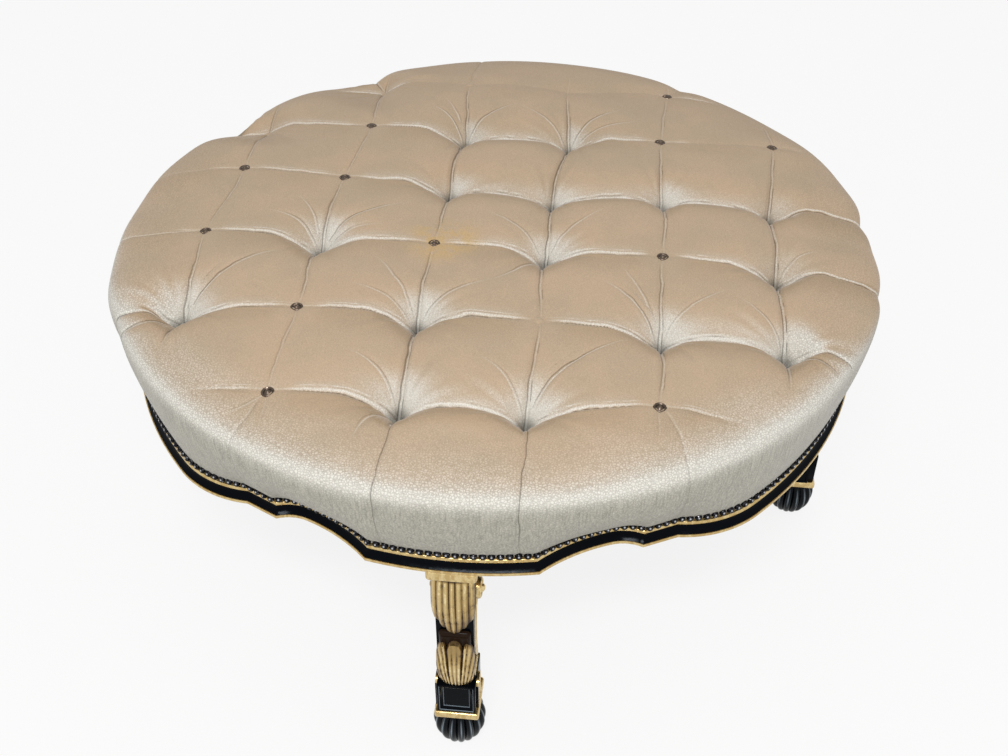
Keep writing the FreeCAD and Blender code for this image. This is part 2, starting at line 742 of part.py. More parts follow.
def scroll():
    """The ebonised scroll: an upright with a rolled bracket end under the cap and a round knee."""
    front = -SCROLL_FRONT
    roll = Z_CAP - 2 * SCROLL_ROLL
    waist = Z_SHAFT + SHAFT_HEIGHT * SCROLL_WAIST_SHARE
    knot = Z_SHAFT + SHAFT_HEIGHT * SCROLL_KNOT_SHARE
    throat = Z_SHAFT + SHAFT_HEIGHT * SCROLL_THROAT_SHARE
    foot_end = Vector(0, BLOCK_BACK - SCROLL_HEEL_SETBACK, Z_SHAFT)
    waist_point = Vector(0, SCROLL_WAIST_BACK, waist)
    knot_low = Vector(0, SCROLL_KNOT_BACK - SCROLL_KNOT, knot - SCROLL_KNOT)
    knot_out = Vector(0, SCROLL_KNOT_BACK, knot)
    knot_high = Vector(0, SCROLL_KNOT_BACK - SCROLL_KNOT, knot + SCROLL_KNOT)
    throat_point = Vector(0, SCROLL_KNOT_BACK + SCROLL_THROAT_SAG, throat)
    roll_low = Vector(0, SCROLL_REACH - SCROLL_ROLL, roll)
    roll_out = Vector(0, SCROLL_REACH, roll + SCROLL_ROLL)
    roll_high = Vector(0, SCROLL_REACH - SCROLL_ROLL, Z_CAP)
    profile = Part.Wire([
        Part.Arc(foot_end, waist_point, knot_low).toShape(),
        Part.Arc(knot_low, knot_out, knot_high).toShape(),
        Part.Arc(knot_high, throat_point, roll_low).toShape(),
        Part.Arc(roll_low, roll_out, roll_high).toShape(),
        Part.LineSegment(roll_high, Vector(0, front, Z_CAP)).toShape(),
        Part.LineSegment(Vector(0, front, Z_CAP), Vector(0, front, Z_SHAFT)).toShape(),
        Part.LineSegment(Vector(0, front, Z_SHAFT), foot_end).toShape(),
    ])
    body = Part.Face(profile).extrude(Vector(SCROLL_WIDTH, 0, 0))
    body.translate(Vector(-SCROLL_WIDTH / 2, 0, 0))
    neck = Z_SHAFT + LOWER_LEAF_HEIGHT
    knee = Part.Wire([
        Part.Arc(Vector(0, front, neck - KNEE_HALF_HEIGHT), Vector(0, front - KNEE_PROUD, neck),
                 Vector(0, front, neck + KNEE_HALF_HEIGHT)).toShape(),
        Part.LineSegment(Vector(0, front, neck + KNEE_HALF_HEIGHT),
                         Vector(0, front, neck - KNEE_HALF_HEIGHT)).toShape(),
    ])
    knee = Part.Face(knee).extrude(Vector(KNEE_WIDTH, 0, 0))
    knee.translate(Vector(-KNEE_WIDTH / 2, 0, 0))
    return body.fuse(knee).removeSplitter()


def fluted_section(half_width, thickness, forward, z):
    """A leaf's cross-section: a shallow arch of veins and hollows in front of the scroll."""
    points = []
    ribs = 2 * LEAF_VEIN_COUNT
    for i in range(ribs + 1):
        turn = math.pi * i / ribs
        relief = 1 if i % 2 == 0 else 1 - LEAF_HOLLOW
        x = -math.cos(turn) * half_width
        y = -math.sin(turn) ** LEAF_ROUNDNESS * thickness * relief
        points.append(Vector(x, y - SCROLL_FRONT - forward, z))
    back = Vector(0, LEAF_TUCK + thickness, 0)
    points += [points[-1] + back, points[0] + back]
    return Part.makePolygon([*points, points[0]])


def leaf(levels):
    """A carved leaf through (height, width share, forward) levels, cut flat against the scroll."""
    sections = []
    for z, share, forward in levels:
        sections.append(fluted_section(LEAF_WIDTH / 2 * share, LEAF_THICKNESS * share, forward, z))
    behind = Part.makeBox(2 * LEAF_WIDTH, 2 * LEAF_WIDTH, SHAFT_HEIGHT,
                          Vector(-LEAF_WIDTH, -SCROLL_FRONT, Z_SHAFT))
    return ruled(sections).cut(behind)


def upper_leaf():
    """The hanging acanthus leaf, full at its shoulders and curling forward at its tip."""
    return leaf([(Z_CAP - UPPER_LEAF_HEIGHT * down, wide, UPPER_LEAF_BELLY * belly + LEAF_CURL * curl)
                 for down, wide, belly, curl in UPPER_LEAF_FORM])


def lower_leaf():
    """The upright leaf over the block: a tall middle lobe between two lower ones."""
    body = leaf([(Z_SHAFT + LOWER_LEAF_HEIGHT * up, wide, LEAF_CURL * curl)
                 for up, wide, curl in LOWER_LEAF_FORM])
    deep = Vector(0, -2 * LEAF_WIDTH, 0)
    notches = []
    for side in (-1, 1):
        notch = [Vector(side * across * LEAF_WIDTH, 0, Z_SHAFT + up * LOWER_LEAF_HEIGHT)
                 for across, up in LOBE_NOTCH]
        notches.append(Part.Face(Part.makePolygon([*notch, notch[0]])).extrude(deep))
    return body.cut(notches)


def volutes():
    """A turned gilt boss on each side of the scroll."""
    radius = VOLUTE_RADIUS
    proud = VOLUTE_PROUD
    boss = turned([(radius * r, proud * h) for r, h in VOLUTE_LEVELS], VOLUTE_SIDE_COUNT)
    boss.rotate(ORIGIN, Vector(0, 1, 0), 90)
    boss.translate(Vector(SCROLL_WIDTH / 2, VOLUTE_BACK, Z_CAP - VOLUTE_DROP))
    return Part.makeCompound([boss, boss.mirror(ORIGIN, Vector(1, 0, 0))])


def leg_pieces():
    """Every piece of one leg but its bolts, by the last part of its name."""
    stem = scroll()
    return {
        "foot": foot(),
        "band": rounded_slab(BAND_WIDTH, BAND_FRONT, BAND_BACK, Z_BAND, BAND_HEIGHT, BAND_BULGE),
        "block": block(),
        "cheeks": cheeks(),
        "lower_leaf": lower_leaf().cut(stem),
        "scroll": stem,
        "volutes": volutes(),
        "upper_leaf": upper_leaf().cut(stem),
        "cap": rounded_slab(CAP_WIDTH, CAP_FRONT, CAP_BACK, Z_CAP, CAP_HEIGHT, CAP_BULGE),
    }


def placed(shape, degrees, radius):
    """A leg's piece moved out to its place and turned to face outwards."""
    copy = shape.copy()
    copy.translate(Vector(0, -radius, 0))
    copy.rotate(ORIGIN, UP, degrees)
    return copy


def save_legs():
    """Write the pieces of the four legs and the bolts that hold them."""
    pieces = leg_pieces()
    bolt_holes = leg_bolts(BOLT_CLEARANCE).Solids
    for name, degrees, radius in LEGS:
        for piece, shape in pieces.items():
            part = placed(shape, degrees, radius)
            if piece in ("scroll", "cap"):
                part = part.cut(bolt_holes)
            save(f"{name}_leg_{piece}", part)
    save("leg_bolts", leg_bolts(0))


def save_frame():
    """Write the rails, their joints, the mouldings and the dust cover."""
    for name, rail in seat_rails().items():
        save(f"{name}_seat_rail", rail)
    save("rail_glue_blocks", Part.makeCompound(glue_blocks()))
    save("rail_dowels", dowels(0))
    save("gilt_fillet", gilt_fillet())
    save("ebonised_cove", ebonised_cove())
    save("gilt_bead", gilt_bead())
    save("dust_cover", dust_cover())


def save_seat():
    """Write the webbing, springs, cushion and buttons."""
    save("seat_webbing", webbing())
    save("seat_springs", seat_springs())
    save("spring_hessian", spring_hessian())
    save("tufted_cushion", cushion())
    save("deep_buttons", buttons("D"))
    save("bare_metal_buttons", buttons("B"))
    save("covered_buttons", buttons("C"))


os.makedirs("parts", exist_ok=True)
save_legs()
save_frame()
save_seat()
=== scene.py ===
"""Looks of a round tufted ottoman: velvet seat, gilt and ebonised frame, carved scroll legs."""

import math

import bmesh
import bpy
import numpy as np
from bpy.props import FloatProperty, FloatVectorProperty, IntProperty, PointerProperty
from mathutils import Matrix, Vector


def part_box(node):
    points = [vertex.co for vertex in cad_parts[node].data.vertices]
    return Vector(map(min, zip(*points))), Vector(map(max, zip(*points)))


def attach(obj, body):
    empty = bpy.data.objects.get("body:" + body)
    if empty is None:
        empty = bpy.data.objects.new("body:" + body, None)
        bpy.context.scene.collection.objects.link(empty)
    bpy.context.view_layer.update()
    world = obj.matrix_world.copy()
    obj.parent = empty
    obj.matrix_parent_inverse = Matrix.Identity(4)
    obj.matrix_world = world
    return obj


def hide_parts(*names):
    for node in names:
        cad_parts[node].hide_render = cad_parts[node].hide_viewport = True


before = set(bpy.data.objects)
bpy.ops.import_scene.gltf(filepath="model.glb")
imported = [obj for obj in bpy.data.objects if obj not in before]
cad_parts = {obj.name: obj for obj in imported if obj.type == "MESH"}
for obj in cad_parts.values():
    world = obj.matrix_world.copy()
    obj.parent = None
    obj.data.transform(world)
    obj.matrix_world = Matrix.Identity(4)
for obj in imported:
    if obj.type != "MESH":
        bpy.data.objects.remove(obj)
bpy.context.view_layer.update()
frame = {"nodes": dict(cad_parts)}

bl_info = {
    "name": "Tufted ottoman",
    "version": (1, 0, 0),
    "blender": (4, 5, 0),
    "location": "View3D > Sidebar > Ottoman",
    "description": "Builds the looks of a round tufted ottoman around its packed frame",
    "category": "Object",
}

# Plan outline of the frame, the same named sizes as the part's, in metres and degrees
FRAME_RADIUS = 0.4725
FRONT_SPAN = 11.7
HOLLOW_SPAN = 14.9
HOLLOW_SETBACK = 0.0264
HOLLOW_CURVE = ((0.35, 0.76), (0.725, 1), (0.88, 0.85))
NOSE_SETBACK = 0.0115
FLAT_SPAN = 5.3
NOTCH_SETBACK = 0.0095
SWELL_SPAN = 12.1
SWELL_PROUD = 0.012
SWELL_MIDDLE_PROUD = 0.009
SIDE_PROUD = 0.0005
OUTLINE_STEP = 0.005
RAIL_FACE_INSET = 0.0145
COVE_FOOT_INSET = 0.0015
COVE_SAG = 0.0016
BEAD_INSET = 0.008
BEAD_BULGE = 0.0018

# Seat sizes
SEAT_RADIUS = 0.4885
CROWN_RISE = 0.044
CROWN_FULLNESS = 3.1
SIDE_FULLNESS = 1.9
COVER_INSET = 0.011
POCKET_HEIGHT = 0.045
CROWN_SHARE = 0.845
CREASE_WIDTH = 0.0023
FAN_DEPTH = 0.0004
LUMP_HEIGHT = 0.0003
WANDER = 0.0009
PUFF_ROOM = 0.003
HIDDEN_DRAW = 0.38
CROWN_STEPS = 600
WARP_SEED = 3
WARP_WAVES = 4
WRINKLE_SEED = 5
LUMP_SEED = 11
LUMP_WAVES = 16

# Where marks and folds fade, from none to full: beside a line, and past the outer tufts' square
# and past its cut corners
MARK_FADE = (0.012, 0.006)
EDGE_FADE = (0.055, 0.012)
CORNER_FADE = (0.118, 0.068)

# Rows of tufts, the front row first: B is a bare button, C a covered one, D a deep one, a dot none
TUFTS = (
    ".BDDB.",
    "DBDCDD",
    "BDBDBD",
    "BBDDDD",
    "DBDDBB",
    ".DC.B.",
)
LAST = len(TUFTS) - 1
CORNER_TUFTS = ((1, 0), (4, 0), (1, 5), (4, 5))
STAINED_TUFT = (2, 2)
STAIN_PLACE = complex(0.012, 0.004)

# Extra depth of the folds between deep tufts, for each row and each column of the grid
ROW_VALLEYS = (0.006, 0.008, 0.005, 0.013, 0.014, 0.010)
COLUMN_VALLEYS = (0.002,) * 6

# Extra draw of the pleats that dent the rim, by column and row
RIM_DENTS = {(0, 4): 0.007, (1, 5): 0.007, (5, 3): 0.006, (0, 1): 0.002, (5, 2): 0.003, (4, 5): 0.003}

# Lumps and hollows of the stuffing at the rim: angle from the front, half its width, and how proud
RIM_LUMPS = (
    (-120, 6, -0.013),
    (-146, 6, -0.011),
    (-133, 14, -0.004),
    (-67, 7, 0.004),
    (77, 6, 0.003),
    (92, 5, -0.005),
    (104, 5, 0.003),
    (119, 9, 0.006),
    (150, 3, -0.0015),
)

# Stretches of the row folds that lie smooth: their middles in tuft places, and how far they reach
SMOOTH_STRETCHES = (
    ((1.6, 5), 0.45),
    ((2.3, 5), 0.5),
    ((3, 5), 0.5),
    ((3.6, 5), 0.4),
    ((4.55, 4), 0.42),
    ((5, 4), 0.3),
    ((4, 2), 0.17),
    ((3, 1), 0.12),
)

# Pleats that hardly show, by column and row
FAINT_PLEATS = ((0, 3), (0, 5), (5, 4), (4, 5))

# Tufts that sit off the even grid, by column and row: how far, across and back
TUFT_SHIFTS = {
    (0, 1): (0.001, -0.003),
    (0, 2): (-0.011, 0.006),
    (1, 2): (-0.007, 0.005),
    (3, 2): (-0.004, 0.003),
    (0, 3): (-0.002, 0.021),
    (3, 3): (-0.003, -0.008),
    (4, 3): (0, 0.008),
    (0, 4): (-0.012, 0.028),
    (1, 4): (0.01, 0),
    (3, 4): (0.007, 0.005),
    (4, 4): (-0.005, 0),
    (5, 4): (0.009, 0.006),
    (1, 5): (0, 0.016),
    (2, 5): (-0.008, 0.006),
    (4, 5): (0.006, 0.016),
    (4, 0): (-0.001, 0.016),
}

# Long folds that cross the puffs: their two ends in tuft places, sideways bow and depth
LONG_FOLDS = (
    ((0, 1), (0.85, 1.75), 0.02, 0.0042),
    ((0, 1), (0.35, 1.62), 0.008, 0.002),
    ((0, 1), (-0.72, 0.72), 0.012, 0.004),
    ((3, 0), (3.8, 0.85), 0.018, 0.005),
    ((3, 0), (3.45, 0.75), 0.01, 0.002),
    ((2, 1), (1.5, 1.75), -0.008, 0.0022),
    ((2, 1), (2.6, 1.5), 0.01, 0.0026),
    ((2, 1), (1.35, 1.35), -0.008, 0.002),
    ((1, 2), (1.7, 2.6), 0.012, 0.003),
    ((1, 2), (1.55, 2.2), 0.008, 0.0022),
    ((1, 2), (0.4, 2.35), -0.012, 0.0026),
    ((1, 2), (0.6, 2.65), -0.01, 0.002),
    ((3, 2), (3.55, 2.7), 0.01, 0.0024),
    ((3, 2), (2.5, 1.45), 0.01, 0.0024),
    ((3, 2), (2.35, 2.55), -0.008, 0.002),
    ((4, 1), (3.45, 1.6), -0.01, 0.003),
    ((4, 1), (4.6, 1.6), 0.01, 0.002),
    ((4, 1), (3.6, 1.85), -0.008, 0.002),
    ((2, 4), (1.55, 4.5), -0.008, 0.0026),
    ((2, 4), (2.55, 4.6), 0.01, 0.003),
    ((2, 4), (1.7, 4.75), -0.006, 0.002),
    ((3, 4), (3.6, 4.6), 0.01, 0.003),
    ((3, 4), (3.8, 4.35), 0.008, 0.0022),
    ((3, 4), (2.5, 4.55), -0.008, 0.0022),
    ((2, 0), (1.5, 0.5), -0.01, 0.0024),
    ((2, 0), (1.72, -0.5), -0.008, 0.002),
    ((3, 0), (2.55, 0.5), -0.01, 0.002),
    ((5, 2), (5.4, 2.3), 0.01, 0.002),
    ((5, 1), (4.6, 1.5), -0.01, 0.0024),
    ((5, 1), (5.5, 0.62), 0.01, 0.0026),
    ((1, 0), (0.62, -0.25), 0.006, 0.0012),
)

# Buttons and nails: their backs, and turned profiles as shares of the radius and heights
BUTTON_SINK = 0.0016
BACK_DEPTH = 0.002
METAL_BUTTON = (
    (0.8, -BACK_DEPTH), (0.97, -0.0008), (1, 0.0008), (0.93, 0.0022), (0.8, 0.0028), (0.68, 0.0022),
    (0.6, 0.0014), (0.45, 0.0018), (0.3, 0.0034), (0.12, 0.0042), (0, 0.0043))
CLOTH_BUTTON = (
    (0.8, -BACK_DEPTH), (0.92, 0), (0.86, 0.0012), (0.7, 0.0022), (0.4, 0.0029), (0, 0.0032))
BUTTON_STEPS = 32
NAIL_LIFT = 0.0030
NAIL_SINK = -0.0010
NAIL_EDGE = -0.0004
NAIL_TILT = 0.42
NAIL_STEPS = 10

# A nail's head: shares of its radius, outwards and up
NAIL_HEAD = ((0.92, 0.38), (0.7, 0.68), (0.34, 0.88), (0, 0.94))

# Colours that the materials mix in; three are painted highlights: on folds, carving tops, arrises
FOLD_HIGHLIGHT = (0.86, 0.84, 0.77)
GILT_HIGHLIGHT = (1.0, 0.86, 0.50)
DUST = (0.004, 0.0045, 0.006)
ARRIS_HIGHLIGHT = (0.27, 0.33, 0.38)
RUST = (0.12, 0.08, 0.05)

# Leg pieces, seen from the foot's centre with the front towards -Y
LEGS = (("front", 0), ("right", 90), ("back", 180), ("left", 270))
SCROLL_FRONT = 0.014
KNEE_HALF_WIDTH = 0.019
KNEE_HALF_HEIGHT = 0.013
KNEE_PROUD = 0.006
KNEE_SUNK = 0.004
KNEE_ROUNDING = 0.005
KNEE_RIDGE = 0.0024
CHEEK_ROUNDING = 0.009
CHEEK_BORDER = 0.003
CHEEK_BEAD = 0.0012
BLOCK_ROUNDING = 0.0012
SLAB_ROUNDING = 0.3
SCROLL_STEP = 0.004
SCROLL_EDGE = 0.0036
SCROLL_SUNK = 0.0022
FOOT_NECK = 0.021
FOOT_PLAIN = 0.02
FOOT_STEPS = 24
LOBE_STEPS = 10
LEAF_ACROSS = 44
LEAF_ALONG = 56
LEAF_THICKNESS = 0.0115
LEAF_BELLY = 0.0045

# Steps of the block's sunk panel: how wide, how deep, and how strong the painted highlight on its arris
# is
PANEL_STEPS = ((0.0018, 0, 0), (0.0008, -0.0004, 1), (0.0005, -0.0006, 0), (0.0056, -0.0018, 0),
               (0.0008, -0.0003, 0.8), (0.0005, -0.0008, 0))

# Share of a leaf's full width at shares of the way along it, from where it springs
UPPER_LEAF_WIDTHS = ((0, 0.90), (0.1, 0.94), (0.25, 0.955), (0.5, 0.955), (0.62, 0.93), (0.72, 0.86),
                     (0.82, 0.7), (0.9, 0.48), (0.96, 0.27), (1, 0.1))
LOWER_LEAF_WIDTHS = ((0, 0.72), (0.06, 0.83), (0.16, 0.9), (0.34, 0.96), (0.55, 0.98), (0.78, 0.98),
                     (0.92, 0.95), (1, 0.9))

# A volute's boss from its rim to its middle: shares of its radius and of how far it stands out
VOLUTE_BACK = -0.001
VOLUTE_STEPS = 36
VOLUTE_BOSS = ((1, 0.3), (0.94, 0.55), (0.78, 0.68), (0.64, 0.5), (0.56, 0.36), (0.44, 0.5),
               (0.34, 0.86), (0.18, 1), (0, 1))

# Stage
SENSOR_WIDTH = 36
FLOOR_HALF = 12.0
FLOOR_GLOW = 0.85
LAMP_SIZE = (1.0, 0.4)
LAMP_PLACE = Vector((0.05, -1.95, 2.7))
LAMP_AIM = Vector((0, 0, 0.4))


class SeatSettings(bpy.types.PropertyGroup):
    """Sizes and colours of the tufted seat"""
    tuft_pitch: FloatProperty(
        name="Tuft pitch", description="Distance between neighbouring tufts",
        default=0.142, unit="LENGTH")
    deep_tuft: FloatProperty(
        name="Deep tuft", description="How far a deep tuft is drawn down", default=0.042, unit="LENGTH")
    shallow_tuft: FloatProperty(
        name="Shallow tuft", description="How far a shallow tuft is drawn down",
        default=0.0035, unit="LENGTH")
    crease: FloatProperty(
        name="Crease", description="Depth of the narrow crease along each fold",
        default=0.0034, unit="LENGTH")
    valley: FloatProperty(
        name="Valley", description="Depth of the wide valley along each fold",
        default=0.0042, unit="LENGTH")
    puff: FloatProperty(
        name="Puff", description="Rise of each puff between the folds", default=0.004, unit="LENGTH")
    pleat: FloatProperty(
        name="Pleat", description="Depth of the pleats over the rim", default=0.0040, unit="LENGTH")
    cells: IntProperty(
        name="Cells", description="Cells of the cover's mesh each way", default=560, min=100)
    nap_colour: FloatVectorProperty(
        name="Nap colour", description="Colour of the velvet lying flat",
        subtype="COLOR", default=(0.50, 0.383, 0.263))
    # Painted sheen: this colour is painted on slopes that face the front and along the rim's band
    sheen_colour: FloatVectorProperty(
        name="Sheen colour", description="Colour of the velvet on slopes, where its nap turns",
        subtype="COLOR", default=(0.74, 0.715, 0.65))
    warm_colour: FloatVectorProperty(
        name="Warm colour", description="The warmer tint of the flat velvet, in slow clouds",
        subtype="COLOR", default=(0.545, 0.403, 0.273))
    # Painted shade: this colour is painted on slopes that face the back and just in front of the row
    # folds' crests
    shade_colour: FloatVectorProperty(
        name="Shade colour", description="Colour of the velvet brushed the other way",
        subtype="COLOR", default=(0.42, 0.30, 0.185))
    side_colour: FloatVectorProperty(
        name="Side colour", description="Colour of the velvet on the upright side",
        subtype="COLOR", default=(0.47, 0.45, 0.38))
    stain_colour: FloatVectorProperty(
        name="Stain colour", description="Colour of the old stain round one button",
        subtype="COLOR", default=(0.60, 0.41, 0.18))
    button_radius: FloatProperty(
        name="Button radius", description="Radius of a tufting button", default=0.0078, unit="LENGTH")


class FrameSettings(bpy.types.PropertyGroup):
    """Sizes and colours of the moulded frame"""
    gilt_colour: FloatVectorProperty(
        name="Gilt colour", description="Colour of the rubbed gilding",
        subtype="COLOR", default=(0.50, 0.345, 0.135))
    # The recess colour darkens the carving's hollows as dirt and as painted shade, and the painted shade
    # on the leaves
    recess_colour: FloatVectorProperty(
        name="Recess colour", description="Colour of the gilding's dark hollows",
        subtype="COLOR", default=(0.05, 0.022, 0.008))
    black_colour: FloatVectorProperty(
        name="Black colour", description="Colour of the ebonised wood",
        subtype="COLOR", default=(0.0016, 0.0021, 0.0034))
    nail_pitch: FloatProperty(
        name="Nail pitch", description="Distance between upholstery nails",
        default=0.0096, unit="LENGTH")
    nail_radius: FloatProperty(
        name="Nail radius", description="Radius of an upholstery nail's head",
        default=0.0044, unit="LENGTH")
    nail_colour: FloatVectorProperty(
        name="Nail colour", description="Colour of the blackened nail heads",
        subtype="COLOR", default=(0.012, 0.012, 0.014))


class LegSettings(bpy.types.PropertyGroup):
    """Sizes of the carved legs"""
    foot_lobes: IntProperty(
        name="Foot lobes", description="Gadroon lobes round a bun foot", default=16, min=6)
    foot_groove: FloatProperty(
        name="Foot groove", description="Depth of the grooves between the lobes",
        default=0.0042, unit="LENGTH")
    leaf_ribs: IntProperty(
        name="Leaf ribs", description="Ribs across a carved leaf", default=7, min=3)
    leaf_relief: FloatProperty(
        name="Leaf relief", description="Depth of the hollows between a leaf's ribs",
        default=0.0038, unit="LENGTH")
    neck_colour: FloatVectorProperty(
        name="Neck colour", description="Colour of the worn wood between the leaves",
        subtype="COLOR", default=(0.022, 0.012, 0.007))


class StageSettings(bpy.types.PropertyGroup):
    """Camera and lights"""
    lens: FloatProperty(
        name="Lens", description="Focal length on a 36 mm sensor, in millimetres", default=43.94)
    camera_place: FloatVectorProperty(
        name="Camera place", description="Where the camera stands",
        subtype="TRANSLATION", default=(0.143296, -1.329364, 1.357704))
    camera_yaw: FloatProperty(
        name="Camera yaw", description="Turn of the view to the left",
        subtype="ANGLE", default=math.radians(5.722))
    camera_pitch: FloatProperty(
        name="Camera pitch", description="How far the camera looks down",
        subtype="ANGLE", default=math.radians(40.723))
    camera_roll: FloatProperty(
        name="Camera roll", description="Tilt of the horizon",
        subtype="ANGLE", default=math.radians(0.195))
    fill: FloatProperty(
        name="Fill", description="Strength of the soft light from all round", default=0.55)
    key: FloatProperty(
        name="Key", description="Power of the window lamp in front, in watts", default=47.0)


class OttomanSettings(bpy.types.PropertyGroup):
    """All settings of the ottoman"""
    seat: PointerProperty(type=SeatSettings)
    frame: PointerProperty(type=FrameSettings)
    legs: PointerProperty(type=LegSettings)
    stage: PointerProperty(type=StageSettings)


# Plan outline, as complex numbers: real is +X and imaginary is +Y

def polar(radius, degrees):
    """A point of the plan: 0 degrees is the front, and it turns towards the right."""
    return -1j * radius * np.exp(1j * math.radians(degrees))


def arc_points(start, middle, end, step=OUTLINE_STEP):
    """Points a step apart along an arc or a straight run, its end left out."""
    count = max(2, round(abs(end - start) / step))
    share = np.arange(count) / count
    turn = (end - start) / (middle - start)
    if abs(turn.imag) < 1e-9:
        return start + (end - start) * share
    centre = start + (middle - start) * (turn - abs(turn) ** 2) / (2j * turn.imag)
    sweep = np.angle((end - centre) / (start - centre))
    if sweep * np.angle((middle - centre) / (start - centre)) < 0:
        sweep -= math.copysign(2 * math.pi, sweep)
    return centre + (start - centre) * np.exp(1j * sweep * share)


def quarter_outline():
    """Start, middle and end of each piece from the middle of the front to the side's shoulder."""
    turn = FRONT_SPAN
    corner = polar(FRAME_RADIUS, turn)
    bend, deepest, rise = [polar(FRAME_RADIUS - HOLLOW_SETBACK * depth, turn + HOLLOW_SPAN * share)
                           for share, depth in HOLLOW_CURVE]
    nose = polar(FRAME_RADIUS - NOSE_SETBACK, turn + HOLLOW_SPAN)
    turn += HOLLOW_SPAN + FLAT_SPAN
    notch = polar(FRAME_RADIUS - NOTCH_SETBACK, turn)
    swell = polar(FRAME_RADIUS + SWELL_MIDDLE_PROUD, turn + SWELL_SPAN / 2)
    shoulder = polar(FRAME_RADIUS + SWELL_PROUD, turn + SWELL_SPAN)
    return [(corner, bend, deepest), (deepest, rise, nose), (nose, (nose + notch) / 2, notch),
            (notch, swell, shoulder)]


def outline():
    """The frame's outline as a closed run of points, anticlockwise from the front's left corner."""
    right_front = quarter_outline()
    across = [tuple(point.conjugate() for point in piece[::-1]) for piece in right_front[::-1]]
    back = [tuple(-point for point in piece) for piece in right_front]
    left_front = [tuple(-point for point in piece) for piece in across]
    side = FRAME_RADIUS + SIDE_PROUD
    pieces = [(left_front[-1][2], -1j * FRAME_RADIUS, right_front[0][0]), *right_front]
    pieces += [(right_front[-1][2], side, across[0][0]), *across]
    pieces += [(across[-1][2], 1j * FRAME_RADIUS, back[0][0]), *back]
    pieces += [(back[-1][2], -side, left_front[0][0]), *left_front]
    return np.concatenate([arc_points(*piece) for piece in pieces])


def inset(points, distance):
    """The closed run of points moved inwards, its corners mitred."""
    ahead = np.roll(points, -1) - points
    normal = 1j * ahead / np.abs(ahead)
    before = np.roll(normal, 1)
    return points + distance * (before + normal) / (1 + (before * normal.conjugate()).real)


def evenly_spaced(points, pitch):
    """Points and outward directions at an even pitch round a closed run."""
    closed = np.append(points, points[0])
    along = np.concatenate([[0], np.cumsum(np.abs(np.diff(closed)))])
    count = round(along[-1] / pitch)
    stops = np.arange(count) / count * along[-1]
    spots = np.interp(stops, along, closed.real) + 1j * np.interp(stops, along, closed.imag)
    ahead = np.roll(spots, -1) - np.roll(spots, 1)
    return list(zip(spots, -1j * ahead / np.abs(ahead)))


# Meshes and pieces

def finished(name, bm, material, slot, *nodes):
    """Turn a bmesh into a named piece that rides on the body and stands for its CAD nodes."""
    bmesh.ops.recalc_face_normals(bm, faces=bm.faces)
    mesh = bpy.data.meshes.new(name)
    bm.to_mesh(mesh)
    bm.free()
    mesh.materials.append(material)
    mesh.shade_smooth()
    piece = bpy.data.objects.new(name, mesh)
    bpy.context.scene.collection.objects.link(piece)
    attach(piece, "root")
    if nodes:
        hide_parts(*nodes)
    return piece


def crisp(piece, degrees):
    """Keep edges sharper than an angle sharp under smooth shading."""
    piece.data.set_sharp_from_angle(angle=math.radians(degrees))


def only(kind, geometry):
    """The elements of one kind from an operator's result."""
    return [element for element in geometry if isinstance(element, kind)]


def open_edges(edges):
    """The edges that have only one face."""
    return [edge for edge in edges if edge.is_boundary]


def extruded(bm, edges):
    """Grow faces from a run of open edges; the new vertices and the new open edges."""
    grown = bmesh.ops.extrude_edge_only(bm, edges=edges)["geom"]
    return only(bmesh.types.BMVert, grown), open_edges(only(bmesh.types.BMEdge, grown))


def rounded(bm, edges, radius, segments):
    """Round some edges of a bmesh."""
    bmesh.ops.bevel(bm, geom=edges, offset=radius, offset_type="OFFSET", segments=segments,
                    profile=0.5, affect="EDGES", material=-1, clamp_overlap=True)


def swept_moulding(points, profile):
    """A closed moulding: a ring of points extruded through (inset, height) steps."""
    bm = bmesh.new()
    place = bm.verts.layers.int.new("place")
    verts = [bm.verts.new((0, 0, 0)) for _ in points]
    for i, vert in enumerate(verts):
        vert[place] = i
    first = [bm.edges.new(pair) for pair in zip(verts, verts[1:] + verts[:1])]
    edges = first
    for step, (depth, height) in enumerate(profile):
        if step:
            verts, edges = extruded(bm, edges)
        ring = inset(points, depth)
        for vert in verts:
            spot = ring[vert[place]]
            vert.co = (spot.real, spot.imag, height)
    bmesh.ops.bridge_loops(bm, edges=first + edges)
    return bm


def turned(profile, steps):
    """A solid turned about the Z axis from (radius, height) points that start and end on it."""
    bm = bmesh.new()
    verts = [bm.verts.new((radius, 0, height)) for radius, height in profile]
    edges = [bm.edges.new(pair) for pair in zip(verts, verts[1:])]
    bmesh.ops.spin(bm, geom=verts + edges, axis=(0, 0, 1), cent=(0, 0, 0), steps=steps,
                   angle=2 * math.pi, use_merge=True)
    bmesh.ops.remove_doubles(bm, verts=bm.verts, dist=1e-6)
    return bm


def copies(bm, matrices):
    """A new bmesh with one copy of a bmesh at each matrix."""
    one = bpy.data.meshes.new("one")
    bm.to_mesh(one)
    bm.free()
    group = bmesh.new()
    for matrix in matrices:
        moved = one.copy()
        moved.transform(matrix)
        group.from_mesh(moved)
        bpy.data.meshes.remove(moved)
    bpy.data.meshes.remove(one)
    return group


def set_attribute(piece, name, values):
    """Store one number for each vertex, for the piece's material to read."""
    attribute = piece.data.attributes.new(name, "FLOAT", "POINT")
    attribute.data.foreach_set("value", np.asarray(values, np.float32))


# Materials

def add_node(tree, kind, inputs=None, **settings):
    """A shader node with its settings and inputs; an input is a plain value or a Value."""
    node = tree.nodes.new(kind)
    for key, setting in settings.items():
        setattr(node, key, setting)
    for key, given in (inputs or {}).items():
        if isinstance(given, Value):
            given.into(node, key)
        else:
            node.inputs[key].default_value = given
    return node


